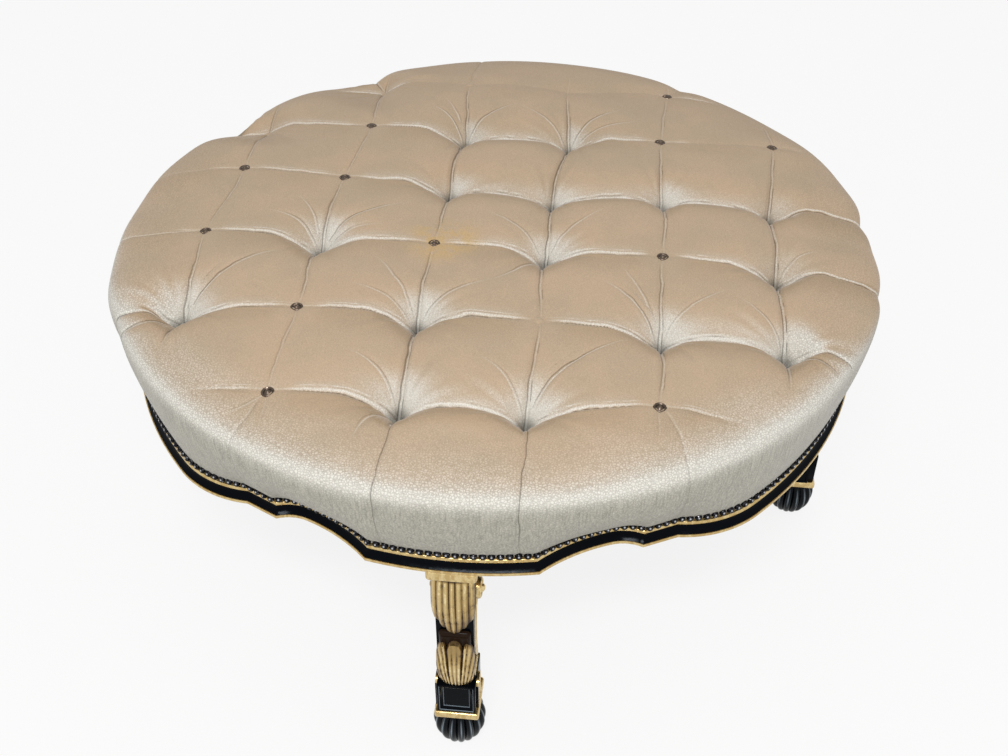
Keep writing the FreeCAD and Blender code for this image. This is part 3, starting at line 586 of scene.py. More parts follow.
class Value:
    """A number or a colour that a shader node gives, for use in plain sums."""

    def __init__(self, node, output):
        """Take one output of a node."""
        self.tree = node.id_data
        self.socket = node.outputs[output]

    def into(self, node, name):
        """Link this value to a node's input."""
        self.tree.links.new(self.socket, node.inputs[name])

    def maths(self, operation, other=0.0):
        """This value and another through one operation."""
        return Value(add_node(self.tree, "ShaderNodeMath", {0: self, 1: other}, operation=operation), 0)

    def __add__(self, other):
        """The sum of this value and another."""
        return self.maths("ADD", other)

    def __sub__(self, other):
        """This value less another."""
        return self.maths("SUBTRACT", other)

    def __mul__(self, other):
        """The product of this value and another."""
        return self.maths("MULTIPLY", other)

    def ramp(self, low, high, start=0.0, end=1.0):
        """This value taken from one range smoothly to another."""
        node = add_node(self.tree, "ShaderNodeMapRange", {
            "Value": self, "From Min": low, "From Max": high, "To Min": start, "To Max": end},
            interpolation_type="SMOOTHSTEP")
        return Value(node, "Result")

    def colours(self, one, two):
        """Two colours mixed by this value."""
        one, two = [given if isinstance(given, Value) else (*given, 1) for given in (one, two)]
        node = add_node(self.tree, "ShaderNodeMix", {0: self, 6: one, 7: two}, data_type="RGBA")
        return Value(node, 2)

    def bump(self, shader, distance, strength=1.0):
        """Bump on a shader, with this value as its height."""
        node = add_node(self.tree, "ShaderNodeBump", {
            "Height": self, "Distance": distance, "Strength": strength})
        Value(node, "Normal").into(shader, "Normal")


def new_material(name):
    """A material and the parts of its node tree that the recipes use."""
    material = bpy.data.materials.new(name)
    material.use_nodes = True
    return material, material.node_tree, material.node_tree.nodes["Principled BSDF"]


def vectors(tree, operation, one, other):
    """A vector and another value through one vector operation."""
    return Value(add_node(tree, "ShaderNodeVectorMath", {0: one, **other}, operation=operation), 0)


def mapped(tree, coords, stretch=(1, 1, 1), turn=0.0):
    """Coordinates, stretched and turned about Z."""
    node = add_node(tree, "ShaderNodeMapping", {
        "Vector": coords, "Scale": stretch, "Rotation": (0, 0, turn)})
    return Value(node, 0)


def object_coords(tree, stretch=(1, 1, 1)):
    """Object coordinates, stretched."""
    return mapped(tree, Value(add_node(tree, "ShaderNodeTexCoord"), "Object"), stretch)


def noise(tree, coords, scale, detail=3.0, roughness=0.5, output="Fac"):
    """Noise between 0 and 1."""
    return Value(add_node(tree, "ShaderNodeTexNoise", {
        "Vector": coords, "Scale": scale, "Detail": detail, "Roughness": roughness}), output)


def attribute(tree, name):
    """A number stored on the piece's vertices."""
    return Value(add_node(tree, "ShaderNodeAttribute", attribute_name=name), "Fac")


def strongest(values):
    """The largest of some values."""
    largest = values[0]
    for value in values[1:]:
        largest = largest.maths("MAXIMUM", value)
    return largest


def line_beside(gap, offset, half_width):
    """1 on a line that runs beside a fold at an offset, fading to 0 on both sides of it."""
    return (gap - offset).maths("ABSOLUTE").ramp(0.0, half_width, 1.0, 0.0)


def tuft_gap(tree, name, pitch):
    """Signed distance from the nearest fold of the tufting, in metres."""
    return ((attribute(tree, name) + 0.5).maths("FRACT") - 0.5) * pitch


def fold_lines(tree, coords, pitch):
    """The painted shade lines and painted highlight lines along the rows, columns, pleats and long folds
    of the cover.
    """
    wander = (noise(tree, coords, 30.0, 2.0) - 0.5) * 0.005
    breaks = noise(tree, coords, 45.0, 2.0).ramp(0.4, 0.6)
    rows, columns = tuft_gap(tree, "grid_back", pitch), tuft_gap(tree, "grid_across", pitch)
    pleat, crossing = attribute(tree, "pleat_gap"), attribute(tree, "crossing_gap")
    dark, bright = [], []
    for lines, gap, firm, offset, half_width, weight in (
            (dark, rows, "row_fold", 0.0, 0.0014, 1.0),
            (dark, rows, "row_fold", 0.0046, 0.0010, breaks * 0.6),
            (bright, rows, "row_fold", 0.0025, 0.0021, 1.0),
            (bright, rows, "row_fold", 0.0066, 0.0013, breaks * 0.7),
            (dark, columns, "column_fold", -0.0012, 0.0014, 0.9),
            (dark, columns, "column_fold", 0.0026, 0.0010, breaks),
            (bright, columns, "column_fold", 0.0008, 0.0015, 0.45),
            (dark, pleat, "pleat", 0.0, 0.0013, 0.8),
            (bright, pleat, "pleat_highlight", 0.0022, 0.0016, 1.0),
            (dark, crossing, "crossing", 0.0012, 0.0013, 0.8),
            (bright, crossing, "crossing", -0.0014, 0.0017, 0.8)):
        lines.append(line_beside(gap + wander, offset, half_width) * attribute(tree, firm) * weight)
    return strongest(dark), strongest(bright)


def crazing(tree, coords):
    """The velvet's crushed cells: 1 inside a cell, 0 in the cracks between them."""
    drift = noise(tree, coords, 55.0, 2.0, output="Color")
    wander = vectors(tree, "MULTIPLY", drift, {1: (0.006, 0.006, 0.006)})
    moved = mapped(tree, vectors(tree, "ADD", coords, {1: wander}), (0.8, 1.0, 1.15))
    cells = add_node(tree, "ShaderNodeTexVoronoi", {"Vector": moved, "Scale": 370.0, "Randomness": 0.8},
                     feature="DISTANCE_TO_EDGE")
    return Value(cells, "Distance").ramp(0.03, 0.25)


def velvet(name, settings):
    """Crushed velvet: tan where flat, crazed with painted sheen on slopes, grey on the upright side."""
    material, tree, shader = new_material(name)
    coords = object_coords(tree)
    cells = crazing(tree, coords)
    fibre = noise(tree, object_coords(tree, (1.3, 0.8, 0.8)), 700.0, 3.0, 0.65)
    streaks = noise(tree, object_coords(tree, (1, 1, 0.08)), 420.0, 2.0)
    cloud = noise(tree, coords, 11.0, 4.0, 0.6)
    dark, bright = fold_lines(tree, coords, settings.tuft_pitch)
    painted_sheen, side, crazed = [attribute(tree, mark) for mark in ("painted_sheen", "side", "crazed")]
    fleck = (cells - 0.65) * crazed.ramp(0.0, 1.0, 0.06, 0.13)
    fleck = fleck + (fibre - 0.5) * 0.8 + (cloud - 0.5) * 0.3
    # Painted sheen: where the sheen colour takes over from the tan, flecked at its edge
    reach = (painted_sheen + fleck * painted_sheen.ramp(0.0, 0.4, 0.12, 1.0)).ramp(-0.05, 1.05)
    tan = cloud.ramp(0.35, 0.65).colours(settings.nap_colour, settings.warm_colour)
    # Painted shade on slopes that face the back
    colour = attribute(tree, "shaded").colours(tan, settings.shade_colour)
    colour = reach.colours(colour, settings.sheen_colour)
    # Painted highlight along the bright fold lines
    colour = (bright * fibre.ramp(0.3, 0.62, 0.55, 1.0)).colours(colour, FOLD_HIGHLIGHT)
    colour = side.colours(colour, settings.side_colour)
    blot = noise(tree, coords, 42.0, 5.0, 0.65).ramp(0.4, 0.56, 0.1, 1.0)
    colour = (attribute(tree, "stain") * blot).colours(colour, settings.stain_colour)
    crack_depth = painted_sheen.ramp(0.0, 0.7, 0.5, 1.0) * crazed.ramp(0.0, 1.0, 0.07, 0.2)
    shade = cells.ramp(0.0, 1.0, -1.0, 0.3) * crack_depth + 1.0
    shade = shade * fibre.ramp(0.25, 0.75, 0.88, 1.10) + (streaks - 0.5) * (side * 0.7)
    # Painted shade along the dark fold lines and at the bottom of the deep pits
    shade = shade * dark.ramp(0.0, 1.0, 1.0, 0.45) * attribute(tree, "pit_shade").ramp(0.0, 1.0, 1.0, 0.45)
    vectors(tree, "SCALE", colour, {"Scale": shade}).into(shader, "Base Color")
    shader.inputs["Roughness"].default_value = 0.8
    shader.inputs["Specular IOR Level"].default_value = 0.15
    shader.inputs["Sheen Weight"].default_value = 0.25
    shader.inputs["Sheen Roughness"].default_value = 0.4
    shader.inputs["Sheen Tint"].default_value = (0.97, 0.97, 0.95, 1)
    (cells * 0.45 + fibre * 0.25 + (bright - dark)).bump(shader, 0.0006, 0.6)
    return material


def gilding(name, gold, hollow_and_shade, contrast):
    """Rubbed gilding over brown: dirt and painted shade in its hollows, painted highlight on carving
    tops.
    """
    material, tree, shader = new_material(name)
    coords = object_coords(tree)
    patches = noise(tree, coords, 85.0, 5.0, 0.65)
    specks = noise(tree, coords, 480.0, 3.0, 0.6)
    brushing = noise(tree, object_coords(tree, (1, 1, 0.2)), 260.0, 3.0, 0.6)
    # The carving's mark: its hollows, dark with dirt and painted shade, and painted shade on the leaves
    carved = attribute(tree, "hollow_and_shade")
    patchy = patches.ramp(0.50, 0.78, 0.0, 0.5 * contrast)
    specked = specks.ramp(0.58, 0.8, 0.0, 0.5 * contrast)
    # Patchy wear and specks, together with the carving's mark of dirt and painted shade
    worn = (carved + patchy + specked).ramp(0.12, 1.0)
    gleaming = patches.ramp(0.36, 0.54, 1.0, 0.0).maths("MAXIMUM", brushing.ramp(0.48, 0.62))
    # Painted highlight on the tops of the carving, in patches
    gleam = carved.ramp(0.0, 0.3, 1.0, 0.0) * gleaming.maths("MAXIMUM", 0.45 * contrast)
    bright = (gleam * (0.15 + 0.65 * contrast)).colours(gold, GILT_HIGHLIGHT)
    worn.colours(bright, hollow_and_shade).into(shader, "Base Color")
    worn.ramp(0.0, 1.0, 0.27, 0.6).into(shader, "Roughness")
    worn.ramp(0.3, 1.0, 0.95, 0.15).into(shader, "Metallic")
    (patches * 0.6 + specks * 0.25).bump(shader, 0.0008, 0.25 + 0.4 * contrast)
    return material


def lacquer(name, black, gloss=0.04):
    """Glossy ebonised wood with faint brushing and dust, and painted highlights along its marked
    arrises.
    """
    material, tree, shader = new_material(name)
    coords = object_coords(tree)
    dust = noise(tree, coords, 120.0, 5.0, 0.7)
    colour = dust.ramp(0.5, 0.85, 0.0, 0.5).colours(black, DUST)
    # Painted highlight on the arrises that carry the mark
    attribute(tree, "arris_highlight").colours(colour, ARRIS_HIGHLIGHT).into(shader, "Base Color")
    dust.ramp(0.3, 0.8, 0.10, 0.26).into(shader, "Roughness")
    shader.inputs["Specular IOR Level"].default_value = gloss
    shader.inputs["Specular Tint"].default_value = (0.82, 0.92, 1.0, 1)
    noise(tree, coords, 140.0, 3.0).bump(shader, 0.0003, 0.35)
    return material


def dark_metal(name, colour, glint):
    """Blackened metal, brighter in random patches, with a painted glint where its crown is marked."""
    material, tree, shader = new_material(name)
    rub = noise(tree, object_coords(tree), 380.0, 4.0, 0.6)
    # Brighter random patches, and a painted glint on the crown's mark
    gleaming = rub.ramp(0.55, 0.8, 0.0, 0.5).maths("MAXIMUM", attribute(tree, "gleaming"))
    gleaming.colours(colour, glint).into(shader, "Base Color")
    rub.ramp(0.3, 0.8, 0.45, 0.22).into(shader, "Roughness")
    shader.inputs["Metallic"].default_value = 1.0
    return material


def plain_wood(name, light, dark):
    """Sawn beech with fine straight grain."""
    material, tree, shader = new_material(name)
    grain = noise(tree, object_coords(tree, (4, 4, 60)), 6.0, 6.0, 0.6)
    grain.ramp(0.35, 0.7).colours(light, dark).into(shader, "Base Color")
    shader.inputs["Roughness"].default_value = 0.7
    grain.bump(shader, 0.0004, 0.5)
    return material


def woven(name, light, dark, threads):
    """A plain weave of so many threads to the metre."""
    material, tree, shader = new_material(name)
    coords = object_coords(tree)
    warp, weft = [Value(add_node(tree, "ShaderNodeTexWave", {
        "Vector": mapped(tree, coords, turn=turn), "Scale": threads / 20.0, "Distortion": 0.6,
        "Detail Scale": 3.0}), "Fac") for turn in (0, math.pi / 2)]
    weave = warp * weft
    fuzz = noise(tree, coords, 300.0, 4.0)
    (weave * 0.7 + fuzz * 0.3).colours(dark, light).into(shader, "Base Color")
    shader.inputs["Roughness"].default_value = 0.9
    weave.bump(shader, 0.0005, 0.6)
    return material


def steel(name, colour):
    """Plain wire or screw steel."""
    material, tree, shader = new_material(name)
    spots = noise(tree, object_coords(tree), 150.0, 4.0)
    spots.ramp(0.5, 0.8, 0.0, 0.6).colours(colour, RUST).into(shader, "Base Color")
    shader.inputs["Metallic"].default_value = 1.0
    shader.inputs["Roughness"].default_value = 0.4
    return material


# Seat surface

def tufts(kinds):
    """Column, row and letter of every place of the grid with one of some letters, row by row."""
    for row, letters in enumerate(TUFTS):
        for column, letter in enumerate(letters):
            if letter in kinds:
                yield column, row, letter


def tuft_place(settings, column, row):
    """A tuft's place on the plan."""
    return complex(column - LAST / 2, row - LAST / 2) * settings.tuft_pitch


def drawn_depth(settings, column, row, letter):
    """How far a tuft's button pulls the cover down; hidden ones at the back are pulled less."""
    if letter == "D":
        far_back = row == LAST or (column, row) == (0, LAST - 1)
        return settings.deep_tuft * (HIDDEN_DRAW if far_back else 1)
    return settings.shallow_tuft if letter in "BC" else settings.valley


def crown_height(radius):
    """Height of the plain crown over the widest part of the seat."""
    share = np.clip(radius / SEAT_RADIUS, 0, 1)
    return CROWN_RISE * (1 - share ** CROWN_FULLNESS) ** (1 / CROWN_FULLNESS)


def smooth(value, low, high):
    """0 below low, 1 above high and a smooth step between."""
    share = np.clip((value - low) / (high - low), 0, 1)
    return share * share * (3 - 2 * share)


def tuft_depths(settings):
    """How far the cover is drawn down at every place of the grid, by row and column."""
    depths = [drawn_depth(settings, *tuft) for tuft in tufts("BCD.")]
    return np.array(depths).reshape(LAST + 1, LAST + 1)


def spread(depths, across, back):
    """Depths of the grid spread evenly over the plan between its places."""
    column = np.clip(np.floor(across), 0, LAST - 1).astype(int)
    row = np.clip(np.floor(back), 0, LAST - 1).astype(int)
    right = np.clip(across - column, 0, 1)
    up = np.clip(back - row, 0, 1)
    front = depths[row, column] * (1 - right) + depths[row, column + 1] * right
    behind = depths[row + 1, column] * (1 - right) + depths[row + 1, column + 1] * right
    return front * (1 - up) + behind * up


def groove(side, width):
    """A sharp crease with a soft lip on each side."""
    side = np.abs(side)
    return np.exp(-side / width) - 0.3 * np.exp(-((side - 2.6 * width) / (1.3 * width)) ** 2)


def fold_family(settings, along, across, depths, valleys, falls):
    """Folds that run one way: drop, crease, how firmly they are drawn, and signed gap to the nearest."""
    line = np.clip(np.rint(across), 0, LAST).astype(int)
    spot = np.clip(np.rint(along), 0, LAST).astype(int)
    beyond = np.clip(np.where(along > spot, spot + 1, spot - 1), 0, LAST)
    gap = across - np.rint(across)
    run = np.minimum(np.abs(along - spot), 1)
    near = depths[line, spot]
    share = (near * (1 - run) + depths[line, beyond] * run) / settings.deep_tuft
    valley = settings.valley * (0.12 + 0.88 * share) + np.array(valleys)[line] * smooth(share, 0.55, 1)
    funnel = np.clip(1 - 2 * run, 0, 1) ** 2.5
    depth = valley + np.maximum(near - valley, -valley * 0.5) * funnel
    wide = (1 - 2 * np.minimum(np.abs(gap), 0.5)) ** np.where(gap < 0, *falls)
    reach = smooth(np.abs(across - LAST / 2), LAST / 2 + 0.45, LAST / 2 + 0.2)
    shallow = smooth(near, settings.deep_tuft * 0.3, settings.shallow_tuft)
    firm = (0.45 + 0.55 * share) * (1 - 0.6 * shallow * smooth(run, 0.25, 0.1)) * reach
    return depth * wide * reach, firm * groove(gap * settings.tuft_pitch, CREASE_WIDTH), firm, gap


def tuft_field(settings, plan):
    """Depth of the folds and pits, crease, rise of the puffs, and the marks of the folds."""
    across = plan.real / settings.tuft_pitch + LAST / 2
    back = plan.imag / settings.tuft_pitch + LAST / 2
    depths = tuft_depths(settings)
    row_depth, row_crease, row_firm, row_gap = fold_family(
        settings, across, back, depths, ROW_VALLEYS, (4.0, 2.5))
    column_depth, column_crease, column_firm, column_gap = fold_family(
        settings, back, across, depths.T, COLUMN_VALLEYS, (2.8, 2.8))
    inside = tufted_area(settings, plan)
    deepest = (row_depth ** 4 + column_depth ** 4 + 1e-18) ** 0.25
    crease = np.where(np.abs(row_crease) > np.abs(column_crease), row_crease, column_crease)
    fullness = 0.3 + 0.7 * spread(depths, across, back) / settings.deep_tuft
    puff = settings.puff * (fullness * np.abs(np.sin(math.pi * row_gap)) ** 0.8
                            * np.abs(np.sin(math.pi * column_gap)) ** 0.8)
    firm = row_firm ** 1.5
    smoothed = smooth_stretches(across, back)
    crease = crease * (1 - 0.85 * smoothed * (np.abs(row_crease) > np.abs(column_crease)))
    marks = {"grid_across": across, "grid_back": back, "row_fold": row_firm * inside * (1 - smoothed),
             "column_fold": column_firm * inside,
             # in_front marks painted shade just in front of a row fold's crest, behind marks painted
             # sheen on the slope behind it
             "in_front": firm * smooth(-row_gap, 0.46, 0.02) * (row_gap < 0),
             "behind": firm * smooth(row_gap, 0.17, 0.0) * (row_gap >= 0) * inside * (1 - smoothed)}
    return deepest * inside, crease * inside, puff * inside, marks


def smooth_stretches(across, back):
    """1 in the middle of each stretch where a row's fold lies smooth, 0 away from them."""
    total = np.zeros(across.shape)
    for (column, row), reach in SMOOTH_STRETCHES:
        away = np.hypot(across - column, back - row)
        total = np.maximum(total, smooth(away, reach, reach * 0.55))
    return total


def tufted_area(settings, plan):
    """1 among the tufts, fading to 0 beyond the outermost ones."""
    half = settings.tuft_pitch * LAST / 2
    reach = np.maximum(np.abs(plan.real), np.abs(plan.imag))
    corner = (np.abs(plan.real) + np.abs(plan.imag)) / math.sqrt(2)
    edge = smooth(reach, *(half + far for far in EDGE_FADE))
    return edge * smooth(corner, *(half + far for far in CORNER_FADE))


def pleat_lines(settings):
    """Start, direction, strength and extra draw of each pleat from an outer tuft over the rim."""
    lines = []
    for column, row, letter in tufts("BCD"):
        if not {column, row} & {0, LAST}:
            continue
        start = tuft_place(settings, column, row)
        radial = start / abs(start)
        straight = complex((column == LAST) - (column == 0), (row == LAST) - (row == 0))
        lean = 0.85 if (column, row) in CORNER_TUFTS else 0.2
        direction = straight * (1 - lean) + radial * lean
        strength = 0.15 if (column, row) in FAINT_PLEATS else 1.0 if letter == "D" else 0.5
        dent = RIM_DENTS.get((column, row), 0)
        lines.append((start, direction / abs(direction), strength, dent / settings.pleat))
    return lines


def pleats(settings, plan):
    """How strongly the pleats that run out from the outer tufts crease each point, and their marks."""
    narrow, wide, gaps, firm, highlight = (np.zeros(plan.shape) for _ in range(5))
    for start, direction, strength, dent in pleat_lines(settings):
        local = (plan - start) / direction
        near = smooth(local.real, -0.004, 0.03)
        gap = local.imag - 0.003 * np.sin(local.real * 35 + start.real * 90)
        narrow = np.maximum(narrow, strength * near * groove(gap, CREASE_WIDTH))
        wide = np.maximum(wide, near * (0.3 * strength + dent) * np.exp(-(np.abs(gap) / 0.02) ** 1.5))
        close = strength * near * smooth(np.abs(gap), *MARK_FADE)
        nearest = close > firm
        gaps = np.where(nearest, gap * (1 if direction.real > 0 else -1), gaps)
        # How strongly the painted highlight shows beside the pleat
        highlight = np.where(nearest, 0.75 * close * abs(direction.real), highlight)
        firm = np.maximum(firm, close)
    return narrow, wide, {"pleat_gap": gaps, "pleat": firm, "pleat_highlight": highlight}


def long_folds(settings, plan):
    """Depth of the long folds that cross the puffs, and their marks."""
    total, gaps, firm = (np.zeros(plan.shape) for _ in range(3))
    for start, end, bow, depth in LONG_FOLDS:
        one, two = tuft_place(settings, *start), tuft_place(settings, *end)
        local = (plan - one) / (two - one)
        gap = local.imag * abs(two - one) - bow * 4 * local.real * (1 - local.real)
        window = smooth(local.real, 0.02, 0.2) * smooth(local.real, 1.0, 0.5)
        total += depth * window * (0.5 * groove(gap, CREASE_WIDTH) + 0.5 * np.exp(-(gap / 0.012) ** 2))
        close = np.minimum(depth / 0.0035, 1) * window * smooth(np.abs(gap), *MARK_FADE)
        gaps = np.where(close > firm, gap * (1 if (two - one).real > 0 else -1), gaps)
        firm = np.maximum(firm, close)
    return total, {"crossing_gap": gaps, "crossing": firm}


def rim_lumps(plan):
    """Rise of the rim where its stuffing is lumpy, and its drop where it is hollow."""
    angle = np.degrees(np.angle(plan * 1j))
    total = np.zeros(plan.shape)
    for middle, half_width, proud in RIM_LUMPS:
        off = (angle - middle + 180) % 360 - 180
        total += proud * np.exp(-(off / half_width) ** 2)
    return total * smooth(np.abs(plan), 0.30, 0.44)


def fan_wrinkles(settings, plan):
    """Short wrinkles that spread from each deep tuft."""
    total = np.zeros(plan.shape)
    chance = np.random.default_rng(WRINKLE_SEED)
    for column, row, letter in tufts("BCD."):
        phases = chance.uniform(0, 2 * math.pi, 3)
        if letter != "D":
            continue
        local = plan - tuft_place(settings, column, row)
        distance = np.abs(local)
        angle = np.angle(local)
        window = smooth(distance, 0.012, 0.03) * smooth(distance, 0.1, 0.045)
        waves = np.sin(13 * angle + phases[0]) + 0.8 * np.sin(21 * angle + phases[1])
        patch = smooth(np.sin(2 * angle + phases[2]), -0.5, 0.6)
        total += FAN_DEPTH * window * waves * patch
    return total


def uneven(plan, height):
    """Slow lumps of the stuffing."""
    chance = np.random.default_rng(LUMP_SEED)
    total = np.zeros(plan.shape)
    for _ in range(LUMP_WAVES):
        wave = chance.uniform(15, 50) * np.exp(1j * chance.uniform(0, 2 * math.pi))
        rise = chance.uniform(-20, 20)
        phase = chance.uniform(0, 2 * math.pi)
        total += np.sin(plan.real * wave.real + plan.imag * wave.imag + height * rise + phase)
    return total * LUMP_HEIGHT


def tuft_warp(settings, plan):
    """The plan with the tufts that sit off the even grid moved back on to it."""
    moved = plan.copy()
    for (column, row), shift in TUFT_SHIFTS.items():
        spot = tuft_place(settings, column, row) + complex(*shift)
        moved = moved - complex(*shift) * np.exp(-(np.abs(plan - spot) / 0.075) ** 2)
    chance = np.random.default_rng(WARP_SEED)
    for axis in (1, 1j):
        for _ in range(WARP_WAVES):
            wave = chance.uniform(25, 60) * np.exp(1j * chance.uniform(0, 2 * math.pi))
            phase = chance.uniform(0, 2 * math.pi)
            moved = moved + axis * WANDER * np.sin(plan.real * wave.real + plan.imag * wave.imag + phase)
    return moved


class SeatForm:
    """The plain seat from its middle to its foot, and the tufted surface laid over it."""

    def __init__(self, settings):
        """Read the cushion's box and the frame's outline, and measure along the crown."""
        self.settings = settings
        low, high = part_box("tufted_cushion")
        self.foot = low.z
        self.widest = high.z - CROWN_RISE - PUFF_ROOM
        bottom = inset(outline(), COVER_INSET)
        order = np.argsort(np.angle(bottom))
        self.angles = np.angle(bottom)[order]
        self.reaches = np.abs(bottom)[order]
        radii = SEAT_RADIUS * (1 - np.linspace(1, 0, CROWN_STEPS) ** 2)
        steps = np.hypot(np.diff(radii), np.diff(crown_height(radii)))
        self.radii = radii
        self.along = np.concatenate([[0], np.cumsum(steps)]) / steps.sum()

    def foot_radius(self, direction):
        """Reach of the cover's foot in a direction."""
        return np.interp(np.angle(direction), self.angles, self.reaches, period=2 * math.pi)

    def profile(self, share, direction):
        """Radius and height at a share of the way from the middle of the crown to the foot."""
        crown = np.interp(share / CROWN_SHARE, self.along, self.radii)
        fall = np.clip((share - CROWN_SHARE) / (1 - CROWN_SHARE), 0, 1)
        side_height = (self.widest - self.foot) * fall
        drawn = fall ** SIDE_FULLNESS
        foot = self.foot_radius(direction)
        side = SEAT_RADIUS * (1 - drawn) + foot * drawn
        on_side = share > CROWN_SHARE
        radius = np.where(on_side, side, crown)
        height = np.where(on_side, self.widest - side_height, self.widest + crown_height(crown))
        return radius, height

    def normal(self, share, direction):
        """Outward and upward parts of the plain seat's normal."""
        step = 0.004
        near = self.profile(np.clip(share - step, 0, 1), direction)
        far = self.profile(np.clip(share + step, 0, 1), direction)
        run, rise = far[0] - near[0], far[1] - near[1]
        length = np.hypot(run, rise)
        return -rise / length, run / length

    def surface(self, disc):
        """Place of each point of the unit disc on the tufted seat, and the marks its velvet shows."""
        settings = self.settings
        share = np.abs(disc)
        direction = np.where(share > 1e-9, disc / np.maximum(share, 1e-9), 1)
        radius, height = self.profile(share, direction)
        outward, upward = self.normal(share, direction)
        plan = direction * radius
        moved = tuft_warp(settings, plan)
        drop, crease, puffs, marks = tuft_field(settings, moved)
        narrow, wide, pleat_marks = pleats(settings, moved)
        crossing, crossing_marks = long_folds(settings, moved)
        fall = np.clip((share - CROWN_SHARE) / (1 - CROWN_SHARE), 0, 1)
        fade = 1 - 0.6 * smooth(fall, 0.1, 1.0)
        on_top = 1 - smooth(fall, 0, 0.3)
        lift = puffs + uneven(plan, height) * (1 - fall) + fan_wrinkles(settings, moved) * on_top
        lift = lift + rim_lumps(plan) * (1 - smooth(fall, 0.15, 0.8)) - crossing * on_top
        lift = lift - settings.pleat * fade * (0.6 * narrow + wide)
        plan = plan + direction * outward * lift
        marks.update(pleat_marks, **crossing_marks)
        marks["pleat"] = marks["pleat"] * fade
        marks["crossing"] = marks["crossing"] * on_top
        # Painted shade at the bottom of the deep pits
        marks["pit_shade"] = smooth(drop / settings.deep_tuft, 0.52, 0.98)
        return plan, height + upward * lift - drop - settings.crease * crease, marks

    def spot(self, place):
        """Place and normal of the plain seat at a point of its top."""
        direction = place / abs(place)
        share = np.array([np.interp(abs(place), self.radii, self.along) * CROWN_SHARE])
        outward, upward = self.normal(share, np.array([direction]))
        normal = Vector((direction.real * outward[0], direction.imag * outward[0], upward[0]))
        return share[0] * direction, normal


def unit_disc(bm):
    """The vertices of a square grid spread evenly over the unit disc."""
    spots = np.array([(vert.co.x, vert.co.y) for vert in bm.verts])
    a, b = spots[:, 0], spots[:, 1]
    wide = np.abs(a) >= np.abs(b)
    reach = np.where(wide, a, b)
    safe = np.where(np.abs(reach) > 1e-9, reach, 1)
    turn = np.where(wide, b / safe * math.pi / 4, math.pi / 2 - a / safe * math.pi / 4)
    return reach * np.exp(1j * turn)


def move_verts(bm, plan, height):
    """Put every vertex at its new place."""
    for vert, spot, z in zip(bm.verts, plan.tolist(), height.tolist()):
        vert.co = (spot.real, spot.imag, z)


def cover_mesh(form, cells):
    """The velvet cover, turned under at its foot and closed against the frame."""
    bm = bmesh.new()
    bmesh.ops.create_grid(bm, x_segments=cells, y_segments=cells, size=1.0)
    plan, height, marks = form.surface(unit_disc(bm))
    move_verts(bm, plan, height)
    edges = open_edges(bm.edges)
    for depth, lift in ((RAIL_FACE_INSET - COVER_INSET, 0), (0, POCKET_HEIGHT)):
        verts, edges = extruded(bm, edges)
        for vert in verts:
            away = Vector((vert.co.x, vert.co.y, 0)).normalized()
            vert.co -= away * depth
            vert.co.z += lift
    bmesh.ops.edgeloop_fill(bm, edges=edges)
    return bm, marks


def vertex_vectors(mesh, kind):
    """The vertices' places or normals as rows of three numbers."""
    values = np.empty(len(mesh.vertices) * 3, np.float32)
    mesh.vertices.foreach_get(kind, values)
    return values.reshape(-1, 3)


def softened(normals, count, rounds=10):
    """Normals of the cover's square grid, each averaged with its neighbours a few times."""
    side = math.isqrt(count)
    grid = normals[:count].reshape(side, side, 3).copy()
    for _ in range(rounds):
        for axis in (0, 1):
            grid = (np.roll(grid, 1, axis) + 2 * grid + np.roll(grid, -1, axis)) / 4
    return np.concatenate([grid.reshape(-1, 3), normals[count:]])


